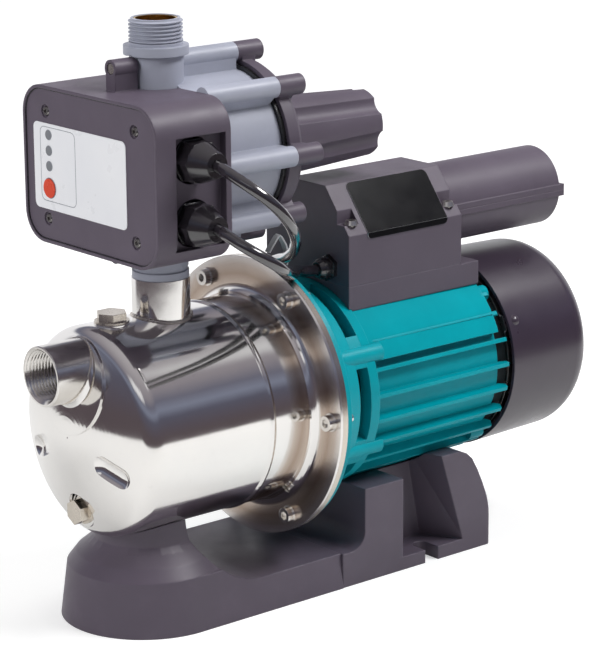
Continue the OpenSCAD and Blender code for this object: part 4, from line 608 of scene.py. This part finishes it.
def cord_curve(name, route):
    data = bpy.data.curves.new(name, "CURVE")
    data.dimensions = "3D"
    data.bevel_depth = CABLE_D / 2
    data.bevel_resolution = 6
    data.resolution_u = 6
    data.use_fill_caps = True
    spline = data.splines.new("BEZIER")
    spline.bezier_points.add(len(route) - 1)
    for knot, point in zip(spline.bezier_points, route):
        knot.co = metres(point)
        knot.handle_left_type = knot.handle_right_type = "AUTO"
    obj = bpy.data.objects.new(name, data)
    scene.collection.objects.link(obj)
    data.materials.append(MATS["cord_black"])
    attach(obj, "frame")
    return obj


def curve_length(obj):
    """Length of a curve's middle line, measured on a bare copy of it."""
    bare = obj.data.copy()
    bare.bevel_depth = 0
    bare.use_fill_caps = False
    probe = bpy.data.objects.new("probe", bare)
    scene.collection.objects.link(probe)
    bpy.context.view_layer.update()
    mesh = probe.evaluated_get(bpy.context.evaluated_depsgraph_get()).to_mesh()
    places = [v.co for v in mesh.vertices]
    total = sum((places[e.vertices[0]] - places[e.vertices[1]]).length for e in mesh.edges)
    bpy.data.objects.remove(probe)
    return total


def plug_body():
    """Rubber body of the plug, lying on its side, as a loft of squarish rings."""
    # Place along X, half width, half height and height of the middle, mm
    rows = ((134.2, 11.856, 10.2, 12.0), (135.6, 12.616, 11.4, 12.0), (141.0, 12.92, 12.0, 12.0),
            (149.0, 12.464, 11.8, 12.0), (155.0, 10.792, 10.6, 11.8), (160.0, 8.664, 9.0, 11.6),
            (164.0, 6.84, 7.6, 11.2), (167.4, 5.624, 6.6, 10.9))
    squareness = 0.62
    bm = bmesh.new()
    rings = []
    for x, half_w, half_h, middle in rows:
        ring = []
        for u, v in circle(48):
            y = PLUG_Y + half_w * math.copysign(abs(u) ** squareness, u)
            z = middle + half_h * math.copysign(abs(v) ** squareness, v)
            ring.append(bm.verts.new(metres((x, y, max(z, 0.05)))))
        rings.append(ring)
    skin(bm, rings)
    return finish_mesh("plug_body", bm, "black_plastic", angle=50)


def plug_relief():
    """Ribbed sleeve behind the plug, tapering onto the lead."""
    profile = [(0.0, 166.0), (6.4, 166.0)]
    x, r = 167.5, 6.3
    while x < 189:
        profile += [(r, x), (r, x + 1.6), (r - 1.1, x + 1.9), (r - 1.1, x + 2.7)]
        x += 2.9
        r -= 0.26
    profile += [(4.4, x), (4.2, 192.0), (3.6, 192.0)]
    bm = bmesh.new()
    lathe(bm, [metres(p) for p in profile], metres((0, PLUG_Y, PLUG_Z)), (1, 0, 0), 40)
    return finish_mesh("plug_relief", bm, "rubber")


def plug_pins():
    bm = bmesh.new()
    for y in (PLUG_Y - 7, PLUG_Y + 7):
        sweep(bm, [metres((x, y, 12)) for x in (135.2, 118.6, 117.2)], [0.001, 0.001, 0.0006],
              [(-1.0, -3.0), (1.0, -3.0), (1.0, 3.0), (-1.0, 3.0)])
    return finish_mesh("plug_pins", bm, "brass", angle=25)


def plug_grips():
    """Upright finger ribs on both sides of the plug."""
    bm = bmesh.new()
    for i in range(5):
        x = 142 + i * 4.0
        half_w = 11.7 - max(0, i - 2) * 0.4
        for y in (PLUG_Y - half_w, PLUG_Y + half_w):
            sweep(bm, [metres((x, y, 5.5)), metres((x, y, 18.5))], 0.0011, circle(10))
    return finish_mesh("plug_grips", bm, "black_plastic")


def coil_tie():
    """Releasable strap round the coil, with its head."""
    a = math.radians(200)
    x0, y0 = COIL_C[0] + 42 * math.cos(a), COIL_C[1] + 42 * math.sin(a)
    loop = [metres((x0 + u * math.cos(a), y0 + u * math.sin(a), 7.6 + v))
            for u, v in rounded_loop(7.9, 7.0, 3.2, 5)]
    bm = bmesh.new()
    sweep(bm, loop, 0.001, [(-0.45, -2.2), (0.45, -2.2), (0.45, 2.2), (-0.45, 2.2)], closed=True,
          side=(math.cos(a), math.sin(a), 0))
    head = Vector(metres((x0 + 8.2 * math.cos(a), y0 + 8.2 * math.sin(a), 8.5)))
    bmesh.ops.create_cube(bm, size=1, matrix=Matrix.Translation(head) @ Matrix.Rotation(a, 4, "Z")
                          @ Matrix.Diagonal((0.0034, 0.0066, 0.0052, 1)))
    return finish_mesh("coil_tie", bm, "black_plastic", angle=30)


def cords():
    # From the gland's mouth on; what lies inside the gland is a stub of its own
    lead = cord_curve("mains_lead", MAINS_ROUTE + coil_points())
    body = plug_body()
    pieces = [body, plug_relief(), plug_pins(), plug_grips()]
    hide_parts("mains_plug")
    pieces.append(coil_tie())
    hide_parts("mains_cord", "mains_coil")
    round(curve_length(lead), 3)
    cord_curve("lead_in_gland", STUB_ROUTE)
    jumper = cord_curve("motor_lead", MOTOR_ROUTE)
    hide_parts("pump_cable")


# ---------------------------------------------------------------- pieces of the pump casing
# Radii of the barrel, of the dome's crown and of the knuckle between them, and the dome's depth, mm
BARREL_R, CROWN_R, KNUCKLE_R, DOME_FRONT = 66.5, 142.9, 11.4, 73.5
SKIN_LIFT = 0.05  # how far a piece laid on the dome stands off it, mm
SOCKET_R = 18.8  # outside of the suction socket, mm
SKIRT_R = 18.7  # inner edge of the sheet drawn out round it, mm
SKIRT_RISE = 6.4  # how much higher that sheet stands below the socket than above it, mm


def dome_x(rho):
    """Place along X of the pressed dome at a distance from the shaft, mm."""
    knuckle_rho = BARREL_R - KNUCKLE_R
    knuckle_x = CROWN_R - DOME_FRONT - math.sqrt((CROWN_R - KNUCKLE_R) ** 2 - knuckle_rho ** 2)
    if rho <= knuckle_rho / (CROWN_R - KNUCKLE_R) * (CROWN_R + SKIN_LIFT):
        return CROWN_R - DOME_FRONT - math.sqrt((CROWN_R + SKIN_LIFT) ** 2 - rho ** 2)
    return knuckle_x - math.sqrt(max(0.0, (KNUCKLE_R + SKIN_LIFT) ** 2 - (rho - knuckle_rho) ** 2))


def round_socket(count, place):
    """Points round the suction socket's axis, mm; place gives x and radius at a share of the turn."""
    points = []
    for j in range(count):
        x, r = place(j / count)
        a = 2 * math.pi * j / count
        points.append((x, r * math.cos(a), SUCTION_Z + r * math.sin(a)))
    return points


def below(share):
    """0 above the socket's axis, 1 straight below it."""
    return 0.5 - 0.5 * math.sin(2 * math.pi * share)


def on_dome(share, r):
    """Place along X of the dome's skin at a radius round the suction socket, mm."""
    a = 2 * math.pi * share
    return dome_x(math.hypot(r * math.cos(a), SUCTION_Z - SHAFT_Z + r * math.sin(a)))


def threaded_socket():
    """Suction socket with a true helical thread cut in its bore."""
    front, back = -91.7, -53.0
    minor, major = 15.15, 16.45
    pitch, thread_end = 2.309, -64.0
    mouth = front + 0.35
    mouth_flare = 1.6

    def bore(x):
        fade = 1.0 if x < thread_end - 2 else max(0.0, (thread_end - x) / 2)

        def place(share):
            phase = ((x - front) / pitch - share) % 1.0
            depth = min(1.0, max(0.0, 1.25 * (1 - abs(2 * phase - 1)) - 0.12))
            r = minor + (major - minor) * depth * fade
            return x, max(r, minor + mouth_flare - (x - mouth))
        return place

    around = 72
    steps = int((thread_end - front) / pitch * 8)
    outside = ((back, SOCKET_R), (front + 0.45, SOCKET_R), (front, 18.35), (front, 17.1))
    places = [lambda share, end=end: end for end in outside]
    places += [bore(mouth + i * pitch / 8) for i in range(steps)]
    places += [bore(thread_end + 1.2), bore(back)]
    bm = bmesh.new()
    rings = [[bm.verts.new(metres(p)) for p in round_socket(around, place)] for place in places]
    skin(bm, rings, closed=True)
    piece = finish_mesh("suction_thread", bm, "stainless", angle=28, look="turned_steel")
    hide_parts("suction_socket")


def suction_skirt():
    """Sheet drawn out round the socket: a concave flare, wide below and narrow at the top."""
    around, along, sheet, inner_r = 96, 10, 1.2, 18.0

    def width(share):
        return 1.0 + 9.0 * below(share)

    def height(share):
        return 1.6 + SKIRT_RISE * below(share)

    def flare(i):
        phi = math.pi / 2 * i / along

        def place(share):
            r = SKIRT_R + width(share) * (1 - math.sin(phi))
            return on_dome(share, r) - height(share) * (1 - math.cos(phi)), r
        return place

    def top(share):
        return on_dome(share, inner_r) - height(share), inner_r

    def under(share):
        return on_dome(share, inner_r) + sheet, inner_r

    def foot(share):
        r = SKIRT_R + width(share)
        return on_dome(share, r) + sheet, r

    places = [flare(i) for i in range(along + 1)] + [top, under, foot]
    bm = bmesh.new()
    rings = [[bm.verts.new(metres(p)) for p in round_socket(around, place)] for place in places]
    skin(bm, rings, closed=True)
    finish_mesh("suction_skirt", bm, "stainless", angle=50)


def weld_bead(name, points, radius):
    """Run of small overlapping puddles along a closed line; mm."""
    count = len(points)
    puddles = 45
    radii = [radius * (1 + 0.10 * math.sin(2 * math.pi * i * puddles / count) + 0.05 * math.sin(i * 1.7)) / 1000
             for i in range(count)]
    bm = bmesh.new()
    sweep(bm, [metres(p) for p in points], radii, circle(10), closed=True)
    finish_mesh(name, bm, "stainless", angle=60, look="weld_bead")


def welds():
    """Beads round the suction socket and round the foot of the discharge neck."""
    count, neck_r = 180, 18.3
    weld_bead("suction_weld", round_socket(count, lambda share: (
        on_dome(share, 18.9) - (1.3 + SKIRT_RISE * below(share)), 18.9)), 0.55)
    weld_bead("neck_weld", [(neck_r * u, neck_r * v, SHAFT_Z + math.sqrt(BARREL_R ** 2 - (neck_r * v) ** 2))
                            for u, v in circle(count)], 1.3)


# ---------------------------------------------------------------- pieces of the controller and the motor
# The controller's front, mm: the lamps and the button, planes of the label's print and of the dark strip of
# painted shade in the plate's joint
LAMP_ZS = (303.8, 294.0, 284.4)
LAMP_Y = 41.8
BUTTON_Z = 270.7
LABEL_X = -51.66
JOINT_SHADE_X = -51.25
PLATE_Z = 285.0


def pressure_coil():
    """Wound spring of the controller."""
    low, high = (Vector(v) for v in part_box("pressure_spring"))
    wire = 0.0012
    mean = (high.y - low.y) / 2 - wire
    z_mid = (low.z + high.z) / 2
    turns, steps = 10, 32
    # The first and last turns are wound closer than the open ones between
    ends, close = 0.9, 0.35
    points = []
    for i in range(turns * steps + 1):
        t = i / steps
        ends_done = min(t, ends) + max(0.0, t - (turns - ends))
        open_done = max(0.0, min(t, turns - ends) - ends)
        share = (close * ends_done + open_done) / (turns - 2 * ends + 2 * close * ends)
        a = 2 * math.pi * t
        points.append((low.x + wire + share * (high.x - low.x - 2 * wire), mean * math.cos(a),
                       z_mid + mean * math.sin(a)))
    bm = bmesh.new()
    sweep(bm, points, wire, circle(10))
    coil = finish_mesh("pressure_coil", bm, "machined_steel", angle=60)
    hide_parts("pressure_spring")
    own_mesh(coil)


def bezel(name, x, z, major, minor):
    """Thin ring on the controller's front, mm."""
    profile = [metres((major + minor * u, minor * v)) for u, v in circle(10)]
    bm = bmesh.new()
    lathe(bm, profile + profile[:1], metres((x, LAMP_Y, z)), (1, 0, 0), 40)
    bmesh.ops.remove_doubles(bm, verts=bm.verts, dist=1e-7)
    finish_mesh(name, bm, "led_grey", look="print_grey")


def front_strip(name, x, middle, loop, section, slot, look=None):
    """Strip along a closed line in the plane of the controller's front; mm."""
    bm = bmesh.new()
    sweep(bm, [metres((x, middle[0] + u, middle[1] + v)) for u, v in loop], 0.001, section,
          closed=True, side=(-1, 0, 0))
    finish_mesh(name, bm, slot, angle=30, look=look)


def label_details():
    """Printed frame round the lamps, and a thin bezel round each lamp and the button."""
    front_strip("label_frame", LABEL_X, (32.55, 285.5), rounded_loop(18.05, 23.0, 4.0, 6),
                [(-0.02, -0.2), (0.05, -0.2), (0.05, 0.2), (-0.02, 0.2)], "led_grey", "print_grey")
    for i, z in enumerate(LAMP_ZS):
        bezel("lamp_bezel_%d" % i, -51.75, z, 3.05, 0.22)
    bezel("button_bezel", -51.7, BUTTON_Z, 6.25, 0.25)


def plate_joint_shade():
    """Thin dark strip of rubber in the joint between the front plate and the box: painted shade for the shadow
    in that groove.
    """
    front_strip("plate_joint_shade", JOINT_SHADE_X, (0.0, PLATE_Z), rounded_loop(65.55, 46.85, 16.9, 12),
                [(-0.2, -0.8), (0.35, -0.8), (0.55, -0.5), (0.55, 0.25), (0.4, 0.45), (-0.2, 0.45)],
                "rubber")


def cable_clip():
    """Bent strap of pale plastic behind the cables."""
    line = [(67.5, -22, 223.0), (69.5, -22, 225.6), (74.6, -22, 231.6), (76.0, -22, 232.6),
            (77.4, -22, 231.4), (80.6, -22, 226.6), (83.0, -21.4, 221.0), (83.6, -20.8, 216.0),
            (82.6, -20.6, 212.4), (79.6, -20.8, 211.2), (76.4, -21.4, 212.6)]
    bm = bmesh.new()
    sweep(bm, [metres(p) for p in line], 0.001, [(-2.2, -0.6), (2.2, -0.6), (2.2, 0.6), (-2.2, 0.6)],
          side=(0, 1, 0))
    finish_mesh("cable_clip", bm, "led_grey", angle=40, look="clip_grey")


def shoulder_frames(degrees):
    """On both sides of the motor: outward and sideways directions at an angle from the top."""
    a = math.radians(degrees)
    for side in (-1, 1):
        yield (Vector((0, -side * math.sin(a), math.cos(a))), Vector((0, math.cos(a), side * math.sin(a))))


def shoulder_line():
    """Raised line along the motor's smooth shoulder."""
    start, ramp_end, end = 0.1235, 0.1247, 0.2305
    root_r, lift, half_w, taper = 0.0667, 0.0009, 0.0009, 0.73
    bm = bmesh.new()
    for out, sideways in shoulder_frames(57):
        corners = []
        for x, h in ((start, 0.0), (ramp_end, lift), (end, lift), (end, 0.0)):
            for w in (-half_w, half_w):
                w *= taper if h else 1
                place = Vector((x, 0, SHAFT_Z / 1000)) + out * (root_r + h) + sideways * w
                corners.append(bm.verts.new(place))
        for face in ((0, 1, 3, 2), (2, 3, 5, 4), (4, 5, 7, 6), (0, 2, 4, 6), (1, 7, 5, 3), (0, 6, 7, 1)):
            bm.faces.new([corners[i] for i in face])
    finish_mesh("shoulder_line", bm, "teal_paint", angle=25)


def shoulder_tips():
    """Short pointed ribs at the fan's end of the shoulder."""
    # Place along X and radius from the shaft, metres
    outline = [(0.2290, 0.0595), (0.2318, 0.0600), (0.2383, 0.0630), (0.2352, 0.0666), (0.2290, 0.0668)]
    half_w = 0.0013
    bm = bmesh.new()
    for degrees in (44.5, 57):
        for out, sideways in shoulder_frames(degrees):
            skin(bm, [[bm.verts.new(Vector((x, 0, SHAFT_Z / 1000)) + out * r + sideways * w)
                       for x, r in outline] for w in (-half_w, half_w)])
    finish_mesh("shoulder_tips", bm, "teal_paint", angle=25)


make_camera()
cords()
threaded_socket()
suction_skirt()
welds()
pressure_coil()
label_details()
plate_joint_shade()
cable_clip()
shoulder_line()
shoulder_tips()
dress_nodes()


# ---------------------------------------------------------------- stage and light
FLAG_R = 3.5
# Colours round the pump as polished metal sees them, from the floor (0) to straight above (1)
SURROUNDINGS = [(0.0, (0.10, 0.08, 0.09)), (0.10, (0.10, 0.085, 0.105)), (0.28, (0.10, 0.10, 0.14)),
                (0.40, (0.21, 0.23, 0.31)), (0.52, (0.15, 0.15, 0.20)), (0.66, (0.27, 0.25, 0.28)),
                (1.0, (0.44, 0.42, 0.44))]
# Soft boxes in them: azimuth and half width in degrees, sine of the elevation, half height, level
SOFT_BOXES = ((60, 58, 0.10, 0.34, 0.95), (-8, 26, 0.76, 0.045, 0.62),
              (-150, 20, 0.60, 0.08, 0.80), (-62, 9, 0.80, 0.05, 1.0))
LIGHT_TARGET = Vector((0.12, 0, 0.17))
# Azimuth and elevation in degrees, distance and size in metres, power in watts
LAMPS = {
    "key": (-48, 50, 2.2, (1.3, 0.5), 38),
    "fill": (176, 27, 2.4, (1.2, 1.2), 27),
    "top": (60, 78, 2.4, (1.2, 1.2), 19),
    "sheen": (-48, 52, 2.2, (1.3, 0.5), 36),
}
# The one non-metal that stays out of the sheen lamp's light
NO_SHEEN = "teal_casing"


def stage_object(name, bm, mat):
    mesh = bpy.data.meshes.new(name)
    bm.to_mesh(mesh)
    bm.free()
    obj = bpy.data.objects.new(name, mesh)
    scene.collection.objects.link(obj)
    mesh.materials.append(mat)
    return obj


def make_floor():
    """Pale floor; the lamps fall off over it, and its own glow makes up for that farther out."""
    glossy_share = 0.34
    n = Surface("floor")
    n.set(Base_Color=(0.72, 0.72, 0.72), Roughness=0.9, Specular_IOR_Level=0.1)
    reach = n.add("ShaderNodeVectorMath", operation="LENGTH")
    n.put(reach.inputs[0], n.coord)
    glow = n.span(reach.outputs["Value"], 0.4, 4.5, 0.48, 0.94)
    path = n.add("ShaderNodeLightPath").outputs
    seen = n.math("MULTIPLY_ADD", path["Is Glossy Ray"], glossy_share, path["Is Camera Ray"])
    light = n.add("ShaderNodeEmission")
    n.put(light.inputs["Strength"], n.math("MULTIPLY", seen, glow))
    both = n.add("ShaderNodeAddShader")
    n.put(both.inputs[0], n.bsdf.outputs[0])
    n.put(both.inputs[1], light.outputs[0])
    n.finish(both.outputs[0])
    bm = bmesh.new()
    bmesh.ops.create_grid(bm, x_segments=2, y_segments=2, size=14)
    stage_object("floor", bm, n.mat)


def flag_material():
    n = Surface("studio_flag")
    n.tree.nodes.remove(n.bsdf)
    x, y, z = n.split(n.coord)
    sine = n.math("DIVIDE", z, FLAG_R)
    azimuth = n.math("ARCTAN2", y, x)

    def window(source, middle, half, blur):
        """1 near the middle, fading to 0 over the blur at half."""
        off = n.math("ABSOLUTE", n.math("SUBTRACT", source, middle))
        return n.span(off, half - blur / 2, half + blur / 2, 1.0, 0.0, interpolation_type="SMOOTHSTEP")

    color = n.ramp(sine, SURROUNDINGS)
    for middle, half_width, height, half_height, level in SOFT_BOXES:
        inside = n.math("MULTIPLY", window(azimuth, math.radians(middle), math.radians(half_width), 0.30),
                        window(sine, height, half_height, 0.07))
        color = n.mix(inside, color, (level, level, level * 1.03))
    light = n.add("ShaderNodeEmission")
    n.put(light.inputs["Color"], color)
    n.finish(light.outputs[0])
    n.mat.cycles.emission_sampling = "NONE"
    return n.mat


def make_flag():
    """Dome of dark surroundings and soft boxes that only mirror-like surfaces see."""
    profile = [(0.85, 0.002), (2.0, 0.002), (FLAG_R, 0.002)]
    for degrees in range(0, 90, 5):
        a = math.radians(degrees)
        profile.append((FLAG_R * math.cos(a), 0.004 + FLAG_R * math.sin(a)))
    profile.append((0.0, 0.004 + FLAG_R))
    bm = bmesh.new()
    lathe(bm, profile, (0.1, 0, 0), (0, 0, 1), 48)
    flag = stage_object("studio_flag", bm, flag_material())
    flag.visible_camera = False
    flag.visible_diffuse = False
    flag.visible_transmission = False
    flag.visible_volume_scatter = False
    flag.visible_shadow = False


def make_world():
    """White to the camera, to gloss and through glass, and a weak even light on everything else."""
    level = 0.20
    world = bpy.data.worlds.new("studio")
    scene.world = world
    n = Nodes(world)
    background = n.tree.nodes["Background"]
    n.put(background.inputs["Color"], (1, 1, 1))
    path = n.add("ShaderNodeLightPath").outputs
    seen = n.math("MAXIMUM", path["Is Camera Ray"], path["Is Glossy Ray"])
    seen = n.math("MAXIMUM", seen, path["Is Transmission Ray"])
    n.put(background.inputs["Strength"], n.math("MULTIPLY_ADD", seen, 1 - level, level))


def area_light(name, azimuth, elevation, distance, size, power):
    data = bpy.data.lights.new(name, "AREA")
    data.shape = "RECTANGLE"
    data.size, data.size_y = size
    data.energy = power
    obj = bpy.data.objects.new(name, data)
    scene.collection.objects.link(obj)
    a, e = math.radians(azimuth), math.radians(elevation)
    away = Vector((math.cos(a) * math.cos(e), math.sin(a) * math.cos(e), math.sin(e)))
    obj.location = LIGHT_TARGET + distance * away
    obj.rotation_euler = away.to_track_quat("Z", "Y").to_euler()
    obj.visible_glossy = False
    return obj


def make_lights():
    """Three soft lamps for every surface, and one that only adds gloss to what isn't metal."""
    lamps = {name: area_light(name, *lamp) for name, lamp in LAMPS.items()}
    sheen = lamps["sheen"]
    sheen.visible_glossy = True
    sheen.visible_diffuse = False
    # By their real names, because a material named like a slot gets a number added to its name
    takers = {mat.name for name, mat in MATS.items() if name != NO_SHEEN
              and mat.node_tree.nodes["Principled BSDF"].inputs["Metallic"].default_value < 0.5}
    receivers = bpy.data.collections.new("sheen_receivers")
    for obj in scene.objects:
        if obj.active_material and obj.active_material.name in takers:
            receivers.objects.link(obj)
    sheen.light_linking.receiver_collection = receivers


make_floor()
make_flag()
make_world()
make_lights()

scene.view_settings.view_transform = "Standard"
